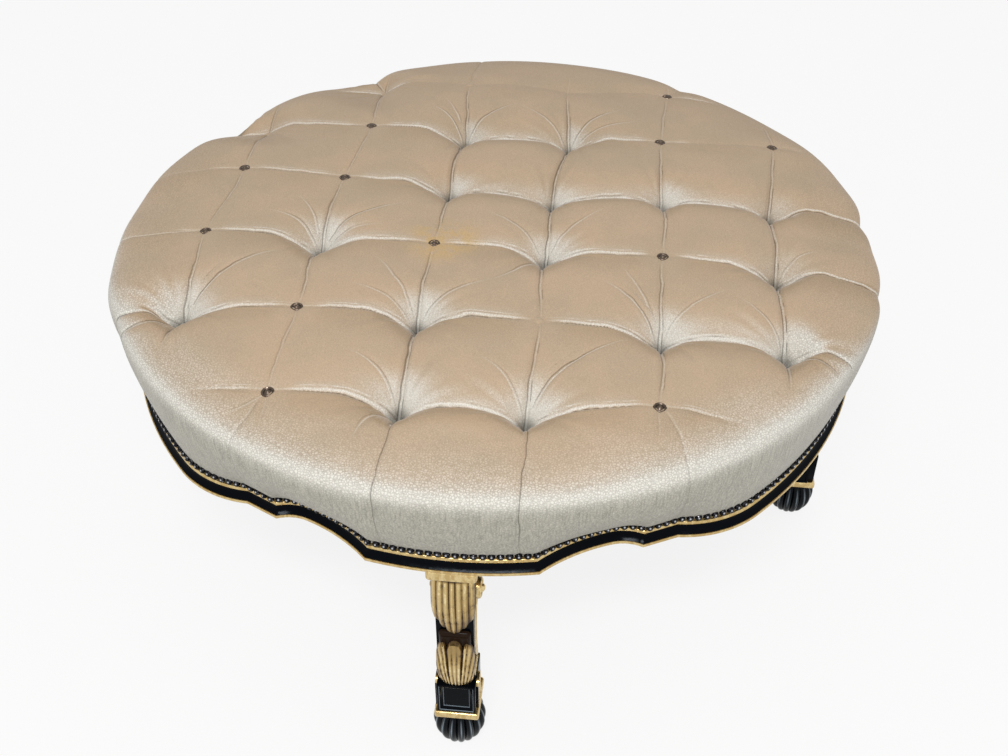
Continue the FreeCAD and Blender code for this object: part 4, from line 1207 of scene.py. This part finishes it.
def cover_attributes(piece, form, marks):
    """Store the marks of the folds, where painted sheen and painted shade lie by slope, and where a
    stain lies.
    """
    normals = vertex_vectors(piece.data, "normal")
    spots = vertex_vectors(piece.data, "co")
    count = marks["pit_shade"].size
    turned_in = np.zeros(len(spots) - count)
    marks = {name: np.concatenate([values, turned_in]) for name, values in marks.items()}
    right, back, up = (0.8 * softened(normals, count) + 0.2 * normals).T
    plan = spots[:, 0] + 1j * spots[:, 1]
    angle = np.degrees(np.angle(plan * 1j))
    # Painted sheen on slopes that face the front and on the rim's band, strongest at the front right,
    # weaker at the back, back left and right
    rim = smooth(np.abs(plan), 0.38, 0.45) * smooth(spots[:, 1], 0.12, 0.0)
    right_front = smooth(np.abs(angle - 46), 30, 10)
    turned_front = -0.85 * back - 0.2 * right + 0.3 * (1 - np.clip(up, 0, 1))
    turned_front += rim * (0.1 + 0.42 * right_front * np.hypot(right, back))
    near_back = smooth(spots[:, 1], 0.36, 0.24)
    far = smooth(spots[:, 1], -0.02, 0.12)
    back_left = smooth(spots[:, 0], -0.22, -0.32) * smooth(spots[:, 1], 0.12, 0.2)
    painted_sheen = smooth(turned_front, 0.05 + 0.2 * far, 0.78 + 0.08 * far)
    painted_sheen *= (0.3 + 0.7 * near_back) * (1 - 0.8 * back_left)
    painted_sheen *= 1 - 0.5 * smooth(spots[:, 0], 0.26, 0.36) * smooth(spots[:, 1], -0.24, -0.1)
    # Painted shade on slopes that face the back and just in front of the row folds' crests
    shaded = np.maximum(smooth(back, 0.03, 0.35) * smooth(up, 0.1, 0.6), 0.8 * marks.pop("in_front"))
    away = np.abs(plan - tuft_place(form.settings, *STAINED_TUFT) - STAIN_PLACE)
    marks["stain"] = 0.7 * smooth(away, 0.06, 0.02)
    marks["painted_sheen"] = np.maximum(painted_sheen, 0.5 * marks.pop("behind"))
    marks["crazed"] = smooth(np.abs(plan), 0.37, 0.45) * smooth(spots[:, 1], 0.25, 0.1)
    marks["shaded"] = shaded * (1 - painted_sheen)
    upright = smooth(up, 0.70, 0.18) * smooth(spots[:, 2], form.widest + 0.023, form.widest - 0.010)
    # Less side colour towards the right, which leaves painted light on that side
    marks["side"] = upright * (1 - 0.4 * smooth(angle, 28, 62) * smooth(angle, 130, 95))
    for name, values in marks.items():
        set_attribute(piece, name, values)


def button_matrices(form, kinds):
    """Where the buttons of some kinds sit, flat on the cover."""
    settings = form.settings
    places = []
    for column, row, letter in tufts(kinds):
        shift = complex(*TUFT_SHIFTS.get((column, row), (0, 0)))
        disc, normal = form.spot(tuft_place(settings, column, row) + shift)
        ring = disc + np.array([0, 1, 1j, -1, -1j]) * settings.button_radius / SEAT_RADIUS
        plan, height, _ = form.surface(ring)
        low = height[0] if letter == "D" else height[1:].mean() - BUTTON_SINK
        turn = Vector((0, 0, 1)).rotation_difference(Vector((0, 0, 1)) if letter == "D" else normal)
        places.append(Matrix.Translation((plan[0].real, plan[0].imag, low)) @ turn.to_matrix().to_4x4())
    return places


def button(radius, profile):
    """A turned button: its back, and a profile of shares of its radius and heights."""
    front = [(radius * share, height) for share, height in profile]
    return turned([(0, -BACK_DEPTH), *front], BUTTON_STEPS)


def nail(radius):
    """A domed nail head, its crown marked for a painted glint."""
    head = [(radius * share, radius * height) for share, height in NAIL_HEAD]
    bm = turned([(0, -BACK_DEPTH), (radius, NAIL_EDGE), *head], NAIL_STEPS)
    # Mark the crown for the painted glint
    gleaming = bm.verts.layers.float.new("gleaming")
    for vert in bm.verts:
        vert[gleaming] = 1.0 if vert.co.z > radius * 0.9 else 0.0
    return bm


class OTTOMAN_OT_seat(bpy.types.Operator):
    """Build the tufted velvet cover"""
    bl_idname = "ottoman.seat"
    bl_label = "Tufted seat"

    def execute(self, context):
        settings = context.scene.ottoman.seat
        form = SeatForm(settings)
        bm, marks = cover_mesh(form, settings.cells)
        cloth = velvet("seat_velvet", settings)
        cover = finished("seat_cover", bm, cloth, "seat_velvet", "tufted_cushion")
        cover_attributes(cover, form, marks)
        return {"FINISHED"}


class OTTOMAN_OT_buttons(bpy.types.Operator):
    """Build the tufting buttons"""
    bl_idname = "ottoman.buttons"
    bl_label = "Buttons"

    def execute(self, context):
        settings = context.scene.ottoman.seat
        form = SeatForm(settings)
        metal = dark_metal("button_metal", (0.10, 0.075, 0.058), (0.55, 0.46, 0.36))
        cloth = velvet("button_velvet", settings)
        radius = settings.button_radius
        for name, kind, dome, material, slot in (
                ("bare_metal_buttons", "B", button(radius, METAL_BUTTON), metal, "button_metal"),
                ("covered_buttons", "C", button(radius * 0.9, CLOTH_BUTTON), cloth, "button_velvet"),
                ("deep_buttons", "D", button(radius, CLOTH_BUTTON), cloth, "button_velvet")):
            bm = copies(dome, button_matrices(form, kind))
            crisp(finished(name + "_domes", bm, material, slot, name), degrees=50)
        return {"FINISHED"}


class OTTOMAN_OT_nails(bpy.types.Operator):
    """Build the row of upholstery nails round the foot of the cover"""
    bl_idname = "ottoman.nails"
    bl_label = "Upholstery nails"

    def execute(self, context):
        settings = context.scene.ottoman.frame
        form = SeatForm(context.scene.ottoman.seat)
        radius = settings.nail_radius
        lift = (radius + NAIL_LIFT) / (form.widest - form.foot)
        share = np.array([1 - (1 - CROWN_SHARE) * lift])
        places = []
        for spot, away in evenly_spaced(inset(outline(), COVER_INSET), settings.nail_pitch):
            direction = spot / abs(spot)
            reach = form.profile(share, np.array([direction]))[0][0]
            turn = Vector((0, 0, 1)).rotation_difference(Vector((away.real, away.imag, NAIL_TILT)))
            spot = spot + direction * (reach - NAIL_SINK - abs(spot))
            stand = Matrix.Translation((spot.real, spot.imag, form.foot + radius + NAIL_LIFT))
            places.append(stand @ turn.to_matrix().to_4x4())
        # The second colour is the painted glint on the nails' crowns
        metal = dark_metal("nail_metal", settings.nail_colour, (0.75, 0.76, 0.80))
        finished("upholstery_nails", copies(nail(radius), places), metal, "button_metal")
        return {"FINISHED"}


def bulged(foot, top, low, high, proud, steps=8):
    """Profile steps from one inset to another that bulge out, or sag in where proud is negative."""
    levels = []
    for step in range(steps + 1):
        share = step / steps
        depth = foot + (top - foot) * share - proud * math.sin(math.pi * share)
        levels.append((depth, low + (high - low) * share))
    return levels


class OTTOMAN_OT_mouldings(bpy.types.Operator):
    """Build the gilt fillet, the ebonised cove and the gilt bead round the frame"""
    bl_idname = "ottoman.mouldings"
    bl_label = "Mouldings"

    def execute(self, context):
        settings = context.scene.ottoman.frame
        points = outline()
        gilt = gilding("moulding_gilding", settings.gilt_colour, settings.recess_colour, 0.25)
        black = lacquer("cove_lacquer", settings.black_colour)
        for name, foot, top, proud, material, slot in (
                ("gilt_fillet", 0.0006, 0.0006, 0.0006, gilt, "gilt_wood"),
                ("ebonised_cove", COVE_FOOT_INSET, BEAD_INSET, -COVE_SAG, black, "ebonised_wood"),
                ("gilt_bead", BEAD_INSET, BEAD_INSET, BEAD_BULGE, gilt, "gilt_wood")):
            low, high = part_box(name)[0].z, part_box(name)[1].z
            profile = bulged(foot, top, low, high, proud)
            profile += [(RAIL_FACE_INSET, high), (RAIL_FACE_INSET, low)]
            bm = swept_moulding(points, profile)
            crisp(finished(name + "_moulding", bm, material, slot, name), degrees=50)
        return {"FINISHED"}


# Legs, built about the foot's centre with the front towards -Y

def leg_matrix(name, degrees):
    """Matrix that puts a leg's piece in its place."""
    low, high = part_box(name + "_leg_foot")
    middle = (low + high) / 2
    radius = math.hypot(middle.x, middle.y)
    return Matrix.Rotation(math.radians(degrees), 4, "Z") @ Matrix.Translation((0, -radius, 0))


def local_box(piece):
    """Box of a front leg's piece about its foot's centre."""
    foot_low, foot_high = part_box("front_leg_foot")
    middle = (foot_low.y + foot_high.y) / 2
    low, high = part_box("front_leg_" + piece)
    return low - Vector((0, middle, 0)), high - Vector((0, middle, 0))


def box_mesh(low, high):
    """A plain box between two corners."""
    bm = bmesh.new()
    place = Matrix.Translation((low + high) / 2)
    bmesh.ops.create_cube(bm, size=1, matrix=place @ Matrix.Diagonal((*(high - low), 1)))
    return bm


def rounded_box(low, high, radius, segments):
    """A box with all its edges rounded."""
    bm = box_mesh(low, high)
    rounded(bm, bm.edges[:], radius, segments)
    return bm


def slab_mesh(piece):
    """A gilt band or cap: a slab with its edges fully rounded."""
    low, high = local_box(piece)
    return rounded_box(low, high, (high.z - low.z) * SLAB_ROUNDING, 5)


def foot_mesh(settings):
    """The bun foot, cut into gadroon lobes."""
    low, high = local_box("foot")
    height = high.z
    reach = (high.x - low.x) / 2
    profile = [(0, 0)]
    for step in range(FOOT_STEPS + 1):
        share = step / FOOT_STEPS
        swell = math.sin(math.pi * share) ** 0.62
        profile.append((FOOT_NECK + (reach - FOOT_NECK) * swell, height * share))
    profile.append((0, height))
    bm = turned(profile, settings.foot_lobes * LOBE_STEPS)
    arris_highlight = bm.verts.layers.float.new("arris_highlight")
    for vert in bm.verts:
        radius = math.hypot(vert.co.x, vert.co.y)
        if radius < FOOT_PLAIN:
            continue
        turn = math.atan2(vert.co.x, -vert.co.y) * settings.foot_lobes / 2
        swell = abs(math.sin(turn)) ** 0.75
        fullness = smooth(np.array(radius), FOOT_PLAIN, reach).item()
        scale = 1 - settings.foot_groove * (1 - swell) * (0.4 + 0.6 * fullness) / radius
        rise = vert.co.z / height
        # Painted highlight streak along each lobe's crown, on the upper part of the foot
        vert[arris_highlight] = swell ** 70 * max(0, 1 - abs(rise - 0.62) / 0.3) ** 0.7
        vert.co.x *= scale
        vert.co.y *= scale
    return bm


def block_mesh():
    """The block over the foot, with a bevelled sunk panel in its front."""
    low, high = local_box("block")
    bm = rounded_box(low, high, BLOCK_ROUNDING, 2)
    arris_highlight = bm.verts.layers.float.new("arris_highlight")
    front = min(bm.faces, key=lambda face: face.calc_center_median().y - face.calc_area() * 10)
    # Each step's last number is the painted highlight on the panel's arris
    for width, sunk, light in PANEL_STEPS:
        bmesh.ops.inset_individual(bm, faces=[front], thickness=width, depth=sunk)
        for vert in front.verts:
            vert[arris_highlight] = light
    return bm


def cheek_mesh():
    """The gilt piece on each side of the block, its top rounded, its side beaded and its ends black."""
    low, high = local_box("cheeks")
    one = box_mesh(Vector((local_box("block")[1].x, low.y, low.z)), high)
    tops = [edge for edge in one.edges
            if all(abs(vert.co.z - high.z) < 1e-6 for vert in edge.verts)
            and abs(edge.verts[0].co.y - edge.verts[1].co.y) < 1e-6]
    rounded(one, tops, CHEEK_ROUNDING, 5)
    for face in one.faces:
        if abs(face.normal.y) > 0.9:
            face.material_index = 1
    side = max(one.faces, key=lambda face: face.calc_center_median().x)
    bmesh.ops.inset_individual(one, faces=[side], thickness=CHEEK_BORDER, depth=0)
    bmesh.ops.inset_individual(one, faces=[side], thickness=CHEEK_BEAD, depth=-CHEEK_BEAD)
    other = Matrix.Rotation(math.pi, 4, "Z") @ Matrix.Scale(-1, 4, (0, 1, 0))
    return copies(one, [Matrix.Identity(4), other])


def leaf_mesh(shape, piece, settings):
    """A carved leaf as a closed shell; the shape gives places and a mark of hollows and painted shade.
    """
    low, high = local_box(piece)
    bm = bmesh.new()
    bmesh.ops.create_grid(bm, x_segments=LEAF_ACROSS, y_segments=LEAF_ALONG, size=1.0)
    hollow_and_shade = bm.verts.layers.float.new("hollow_and_shade")
    grid = np.array([(vert.co.x, vert.co.y) for vert in bm.verts])
    across, forward, height, hollow = shape(grid[:, 0], (grid[:, 1] + 1) / 2, low, high, settings)
    for vert, x, y, z, depth in zip(bm.verts, across, forward, height, hollow):
        vert.co = (x, -SCROLL_FRONT - y, z)
        vert[hollow_and_shade] = depth
    verts, edges = extruded(bm, open_edges(bm.edges))
    for vert in verts:
        vert.co.y = -SCROLL_FRONT
        vert[hollow_and_shade] = 1
    bmesh.ops.edgeloop_fill(bm, edges=edges)
    return bm


def along_stops(share, stops):
    """Values along a run of (share, value) stops."""
    places, values = zip(*stops)
    return np.interp(share, places, values)


def upper_leaf_shape(across, along, low, high, settings):
    """The hanging leaf: full at its shoulders, its side flutes end in lobes, its tip is curled."""
    width = along_stops(along, UPPER_LEAF_WIDTHS)
    lower = smooth(along, 0.45, 0.95)
    fan = across * (1 - smooth(along, 0.3, 0.75) * (1 - width ** 0.8))
    rib = np.abs(np.sin(math.pi * settings.leaf_ribs * (fan + 1) / 2)) ** 0.38
    vein = np.abs(np.sin(math.pi * 3 * settings.leaf_ribs * (fan + 1) / 2)) ** 0.5
    half = (high.x - low.x) / 2 * width * (1 - 0.10 * (1 - rib) * lower)
    arch = (1 - across ** 2 * 0.985) ** 0.45
    thickness = LEAF_THICKNESS * np.minimum(1, width * 1.15) * arch
    belly = LEAF_BELLY * np.sin(math.pi * np.minimum(along / 0.92, 1)) ** 1.2
    curl = 0.0055 * smooth(along, 0.74, 1.0)
    relief = settings.leaf_relief * ((1 - rib) + 0.12 * (1 - vein)) * (0.4 + 0.6 * arch)
    forward = thickness + belly + curl - relief * np.minimum(1, width * 1.3)
    scallop = 0.0055 * (1 - rib) * lower * (1 - smooth(along, 0.97, 1.0) * 0.5)
    height = high.z - (high.z - low.z) * along + scallop
    # Painted shadow under the cap, and painted shade on the right, low down and at the lower outer edges
    top_shade = smooth(along, 0.07, 0.015)
    shade_right_and_low = 0.2 * smooth(across, 0.2, 0.8) * smooth(along, 0.1, 0.5) + 0.1 * smooth(along, 0.4, 0.8)
    hollow = 1.2 * (1 - rib) + 0.25 * (1 - vein) + 0.35 * lower * np.abs(across) + shade_right_and_low + top_shade
    return half * across, forward, height, np.clip(hollow, 0, 1)


def lower_leaf_shape(across, along, low, high, settings):
    """The upright leaf: its ribs fan up to an arched lobe and a lobe on each side."""
    width = along_stops(along, LOWER_LEAF_WIDTHS)
    fan = np.abs(across) * width / (0.6 + 0.4 * along)
    middle = fan < 0.42
    parting = np.exp(-((fan - 0.42) / 0.05) ** 2) * smooth(along, 0.12, 0.6)
    turn = np.where(middle, fan / 0.42 * 1.5, (fan - 0.42) / 0.6 * 2.5)
    rib = np.where(middle, np.abs(np.cos(math.pi * turn)), np.abs(np.sin(math.pi * turn))) ** 0.4
    rib = 1 - (1 - rib) * (1 - 0.85 * smooth(along, 0.66, 0.86) * middle)
    lobe = np.clip((fan - 0.42) / 0.5, 0, 1)
    side_top = 0.82 + 0.14 * np.sin(math.pi * lobe ** 0.7) - 0.02 * lobe
    top = np.where(middle, 1 - 0.20 * (fan / 0.42) ** 3, side_top)
    arch = (1 - across ** 2 * 0.985) ** 0.45
    half = (high.x - low.x) / 2 * width
    belly = LEAF_BELLY * np.sin(math.pi * np.minimum(1, along * 0.8 + 0.1)) ** 2
    curl = 0.0035 * smooth(along, 0.75, 1.0) * np.where(middle, 0.4, 1)
    relief = settings.leaf_relief * (0.75 * (1 - rib) + 0.9 * parting) * (0.45 + 0.55 * arch)
    forward = LEAF_THICKNESS * arch * np.minimum(1, width * 1.1) + belly + curl - relief
    height = low.z + (high.z - low.z) * along * top
    shade = 0.4 * smooth(along, 0.5, 0.9) * middle + 0.25 * np.abs(across) ** 3
    hollow = 1.2 * (1 - rib) + parting + shade
    return half * across, forward, height, np.clip(hollow, 0, 1)


def scroll_mesh():
    """The ebonised scroll, its side profile drawn through, with a gilt edge round its sunk sides."""
    low, high = local_box("scroll")
    foot, top = low.z, high.z
    tall = top - foot
    heel = complex(0.024, foot)
    waist = complex(0.014, foot + tall * 0.3)
    knot = foot + tall * 0.55
    knot_low, knot_high = complex(0.019, knot - 0.007), complex(0.019, knot + 0.007)
    throat = complex(0.0281, foot + tall * 0.66)
    roll = top - 0.026
    roll_low, roll_high = complex(0.051, roll), complex(0.051, top)
    front_top, front_foot = complex(-SCROLL_FRONT, top), complex(-SCROLL_FRONT, foot)
    runs = [(heel, waist, knot_low), (knot_low, complex(0.026, knot), knot_high),
            (knot_high, throat, roll_low), (roll_low, complex(0.064, roll + 0.013), roll_high),
            *((one, (one + two) / 2, two) for one, two in (
                (roll_high, front_top), (front_top, front_foot), (front_foot, heel)))]
    half = (high.x - low.x) / 2
    bm = bmesh.new()
    points = np.concatenate([arc_points(*run, SCROLL_STEP) for run in runs])
    verts = [bm.verts.new((-half, point.real, point.imag)) for point in points]
    face = bm.faces.new(verts)
    grown = bmesh.ops.extrude_face_region(bm, geom=[face])["geom"]
    bmesh.ops.translate(bm, vec=(2 * half, 0, 0), verts=only(bmesh.types.BMVert, grown))
    sides = [face for face in bm.faces if len(face.verts) > 8]
    ring = bmesh.ops.inset_individual(bm, faces=sides, thickness=SCROLL_EDGE, depth=-SCROLL_SUNK)
    for face in ring["faces"]:
        if face.calc_center_median().y > -SCROLL_FRONT + 0.006:
            face.material_index = 1
    return bm


def knee_mesh():
    """The rounded neck between the leaves, with a thin ridge across it."""
    neck = local_box("lower_leaf")[1].z
    half = Vector((KNEE_HALF_WIDTH, 0, KNEE_HALF_HEIGHT))
    front = Vector((0, -SCROLL_FRONT, neck))
    low = front - half - Vector((0, KNEE_PROUD, 0))
    high = front + half + Vector((0, KNEE_SUNK, 0))
    bm = rounded_box(low, high, KNEE_ROUNDING, 5)
    place = Matrix.Translation(front + Vector((0, -KNEE_PROUD, KNEE_HALF_HEIGHT / 2)))
    size = Matrix.Diagonal((2 * KNEE_HALF_WIDTH - 0.006, KNEE_RIDGE, KNEE_RIDGE, 1))
    ridge = bmesh.ops.create_cube(bm, size=1, matrix=place @ size)["verts"]
    edges = list({edge for vert in ridge for edge in vert.link_edges})
    rounded(bm, edges, KNEE_RIDGE / 3, 2)
    return bm


def volute_mesh():
    """A turned gilt boss on each side of the scroll."""
    low, high = local_box("volutes")
    side = local_box("scroll")[1].x
    radius = (high.z - low.z) / 2
    front = [(radius * share, (high.x - side) * height) for share, height in VOLUTE_BOSS]
    boss = turned([(0, VOLUTE_BACK), (radius, VOLUTE_BACK), *front], VOLUTE_STEPS)
    middle = Vector((side, (low.y + high.y) / 2, (low.z + high.z) / 2))
    right = Matrix.Translation(middle) @ Matrix.Rotation(math.pi / 2, 4, "Y")
    return copies(boss, [right, Matrix.Scale(-1, 4, (1, 0, 0)) @ right])


def place_leg_pieces(bm, piece, materials, slot, tag, legs=LEGS, replace=True, sharp=40):
    """Put one leg piece on all the legs, or on some of them."""
    for name, degrees in legs:
        placed = bm.copy()
        bmesh.ops.transform(placed, matrix=leg_matrix(name, degrees), verts=placed.verts)
        nodes = [f"{name}_leg_{piece}"] if replace else []
        done = finished(f"{name}_leg_{piece}_{tag}", placed, materials[0], slot, *nodes)
        for extra in materials[1:]:
            done.data.materials.append(extra)
        crisp(done, sharp)
    bm.free()


class OTTOMAN_OT_feet(bpy.types.Operator):
    """Build the gadrooned feet, the bands and the blocks over them"""
    bl_idname = "ottoman.feet"
    bl_label = "Feet and blocks"

    def execute(self, context):
        settings = context.scene.ottoman
        black = lacquer("leg_lacquer", settings.frame.black_colour)
        glossy = lacquer("foot_lacquer", settings.frame.black_colour, 0.1)
        gilt = gilding("band_gilding", settings.frame.gilt_colour, settings.frame.recess_colour, 0.3)
        place_leg_pieces(foot_mesh(settings.legs), "foot", [glossy], "ebonised_wood", "gadroons",
                         sharp=60)
        place_leg_pieces(slab_mesh("band"), "band", [gilt], "gilt_wood", "slab")
        place_leg_pieces(block_mesh(), "block", [black], "ebonised_wood", "panelled")
        for legs, finish, slot in ((LEGS[::2], gilt, "gilt_wood"), (LEGS[1::2], black, "ebonised_wood")):
            place_leg_pieces(cheek_mesh(), "cheeks", [finish, black], slot, "beaded", legs=legs)
        return {"FINISHED"}


class OTTOMAN_OT_leaves(bpy.types.Operator):
    """Carve the hanging and the upright leaves"""
    bl_idname = "ottoman.leaves"
    bl_label = "Carved leaves"

    def execute(self, context):
        settings = context.scene.ottoman
        gilt = gilding("leaf_gilding", settings.frame.gilt_colour, settings.frame.recess_colour, 0.9)
        for piece, shape in (("upper_leaf", upper_leaf_shape), ("lower_leaf", lower_leaf_shape)):
            bm = leaf_mesh(shape, piece, settings.legs)
            place_leg_pieces(bm, piece, [gilt], "gilt_wood", "carving", sharp=70)
        return {"FINISHED"}


class OTTOMAN_OT_scrolls(bpy.types.Operator):
    """Build the scrolls with their necks, bosses and caps"""
    bl_idname = "ottoman.scrolls"
    bl_label = "Scrolls and caps"

    def execute(self, context):
        settings = context.scene.ottoman
        black = lacquer("scroll_lacquer", settings.frame.black_colour)
        worn = lacquer("neck_wood", settings.legs.neck_colour)
        gilt = gilding("scroll_gilding", settings.frame.gilt_colour, settings.frame.recess_colour, 0.4)
        place_leg_pieces(scroll_mesh(), "scroll", [black, gilt], "ebonised_wood", "scrolled")
        place_leg_pieces(knee_mesh(), "scroll", [worn], "ebonised_wood", "neck", replace=False)
        place_leg_pieces(volute_mesh(), "volutes", [gilt], "gilt_wood", "bosses")
        place_leg_pieces(slab_mesh("cap"), "cap", [gilt], "gilt_wood", "slab")
        return {"FINISHED"}


class OTTOMAN_OT_inside(bpy.types.Operator):
    """Finish the rails, webbing, springs and fixings carried over from the frame"""
    bl_idname = "ottoman.inside"
    bl_label = "Underside and fixings"

    def execute(self, context):
        beech = plain_wood("beech", (0.42, 0.27, 0.14), (0.25, 0.14, 0.065))
        black_cloth = woven("dust_cloth", (0.035, 0.034, 0.034), (0.012, 0.012, 0.012), 900)
        jute = woven("jute_webbing", (0.42, 0.32, 0.19), (0.22, 0.15, 0.08), 500)
        sacking = woven("hessian", (0.45, 0.35, 0.22), (0.2, 0.14, 0.08), 420)
        wire = steel("spring_steel", (0.32, 0.3, 0.28))
        screw = steel("screw_steel", (0.4, 0.4, 0.4))
        finishes = {"dust_cover": black_cloth, "seat_webbing": jute, "spring_hessian": sacking,
                    "seat_springs": wire, "leg_bolts": screw}
        for node in ("rail_glue_blocks", "rail_dowels", *(f"{name}_seat_rail" for name, _ in LEGS)):
            finishes[node] = beech
        for node, material in finishes.items():
            piece = frame["nodes"][node]
            if not piece.material_slots:
                piece.data.materials.append(None)
            for holder in piece.material_slots:
                holder.link = "OBJECT"
                holder.material = material
        return {"FINISHED"}


def background_rays(tree):
    """1 for the rays that show what stands behind the object: the camera's, mirrors' and glass's."""
    path = add_node(tree, "ShaderNodeLightPath")
    return strongest([Value(path, f"Is {ray} Ray") for ray in ("Camera", "Glossy", "Transmission")])


class OTTOMAN_OT_stage(bpy.types.Operator):
    """Set the floor, the lights and the camera"""
    bl_idname = "ottoman.stage"
    bl_label = "Stage"

    def execute(self, context):
        settings = context.scene.ottoman.stage
        scene = context.scene
        scene.view_settings.view_transform = "Standard"
        self.light_world(scene, settings)
        self.lay_floor()
        self.hang_lamp(scene, settings)
        camera = bpy.data.objects.new("camera", bpy.data.cameras.new("camera"))
        camera.data.lens = settings.lens
        camera.data.sensor_width = SENSOR_WIDTH
        camera.matrix_world = Matrix.Translation(settings.camera_place) @ (
            Matrix.Rotation(settings.camera_yaw, 4, "Z")
            @ Matrix.Rotation(math.pi / 2 - settings.camera_pitch, 4, "X")
            @ Matrix.Rotation(settings.camera_roll, 4, "Z"))
        scene.collection.objects.link(camera)
        scene.camera = camera
        return {"FINISHED"}

    def light_world(self, scene, settings):
        """Soft light from all round, and plain white behind."""
        world = bpy.data.worlds.new("studio")
        scene.world = world
        world.use_nodes = True
        background = world.node_tree.nodes["Background"]
        background.inputs["Color"].default_value = (1, 1, 1, 1)
        background_rays(world.node_tree).ramp(0.0, 1.0, settings.fill, 1.0).into(background, "Strength")

    def lay_floor(self):
        """A wide pale floor that keeps a light shadow."""
        bm = bmesh.new()
        bmesh.ops.create_grid(bm, x_segments=1, y_segments=1, size=FLOOR_HALF)
        mesh = bpy.data.meshes.new("floor")
        bm.to_mesh(mesh)
        bm.free()
        floor = bpy.data.objects.new("floor", mesh)
        bpy.context.scene.collection.objects.link(floor)
        material, tree, shader = new_material("pale_floor")
        shader.inputs["Base Color"].default_value = (0.85, 0.85, 0.85, 1)
        shader.inputs["Roughness"].default_value = 0.9
        glow = add_node(tree, "ShaderNodeEmission", {"Color": (1, 1, 1, 1), "Strength": 1.0})
        share = background_rays(tree) * FLOOR_GLOW
        mix = add_node(tree, "ShaderNodeMixShader", {
            0: share, 1: Value(shader, "BSDF"), 2: Value(glow, "Emission")})
        Value(mix, "Shader").into(tree.nodes["Material Output"], "Surface")
        mesh.materials.append(material)

    def hang_lamp(self, scene, settings):
        """One window of a lamp, high in front."""
        lamp = bpy.data.lights.new("window", "AREA")
        lamp.shape = "RECTANGLE"
        lamp.size, lamp.size_y = LAMP_SIZE
        lamp.energy = settings.key
        hung = bpy.data.objects.new("window", lamp)
        hung.location = LAMP_PLACE
        hung.rotation_euler = (LAMP_AIM - LAMP_PLACE).to_track_quat("-Z", "Y").to_euler()
        scene.collection.objects.link(hung)


class OTTOMAN_PT_panel(bpy.types.Panel):
    """The ottoman's settings and pieces"""
    bl_idname = "OTTOMAN_PT_panel"
    bl_label = "Ottoman"
    bl_space_type = "VIEW_3D"
    bl_region_type = "UI"
    bl_category = "Ottoman"

    def draw(self, context):
        """List the settings group by group, then the operators."""
        settings = context.scene.ottoman
        for group in (settings.seat, settings.frame, settings.legs, settings.stage):
            box = self.layout.box()
            for name in group.__annotations__:
                box.prop(group, name)
        for operator in PIECES:
            self.layout.operator(operator.bl_idname)


PIECES = (OTTOMAN_OT_seat, OTTOMAN_OT_buttons, OTTOMAN_OT_nails, OTTOMAN_OT_mouldings, OTTOMAN_OT_feet,
          OTTOMAN_OT_leaves, OTTOMAN_OT_scrolls, OTTOMAN_OT_inside, OTTOMAN_OT_stage)
CLASSES = (SeatSettings, FrameSettings, LegSettings, StageSettings, OttomanSettings, *PIECES,
           OTTOMAN_PT_panel)


def register():
    """Make the settings, operators and panel known."""
    for cls in CLASSES:
        bpy.utils.register_class(cls)
    bpy.types.Scene.ottoman = PointerProperty(type=OttomanSettings)


def unregister():
    """Take the settings, operators and panel away again."""
    del bpy.types.Scene.ottoman
    for cls in reversed(CLASSES):
        bpy.utils.unregister_class(cls)


def main():
    """Build every piece."""
    register()
    for operator in PIECES:
        group, name = operator.bl_idname.split(".")
        if getattr(getattr(bpy.ops, group), name)() != {"FINISHED"}:
            raise RuntimeError(f"{operator.bl_label} was not built")


if __name__ == "__main__":
    main()
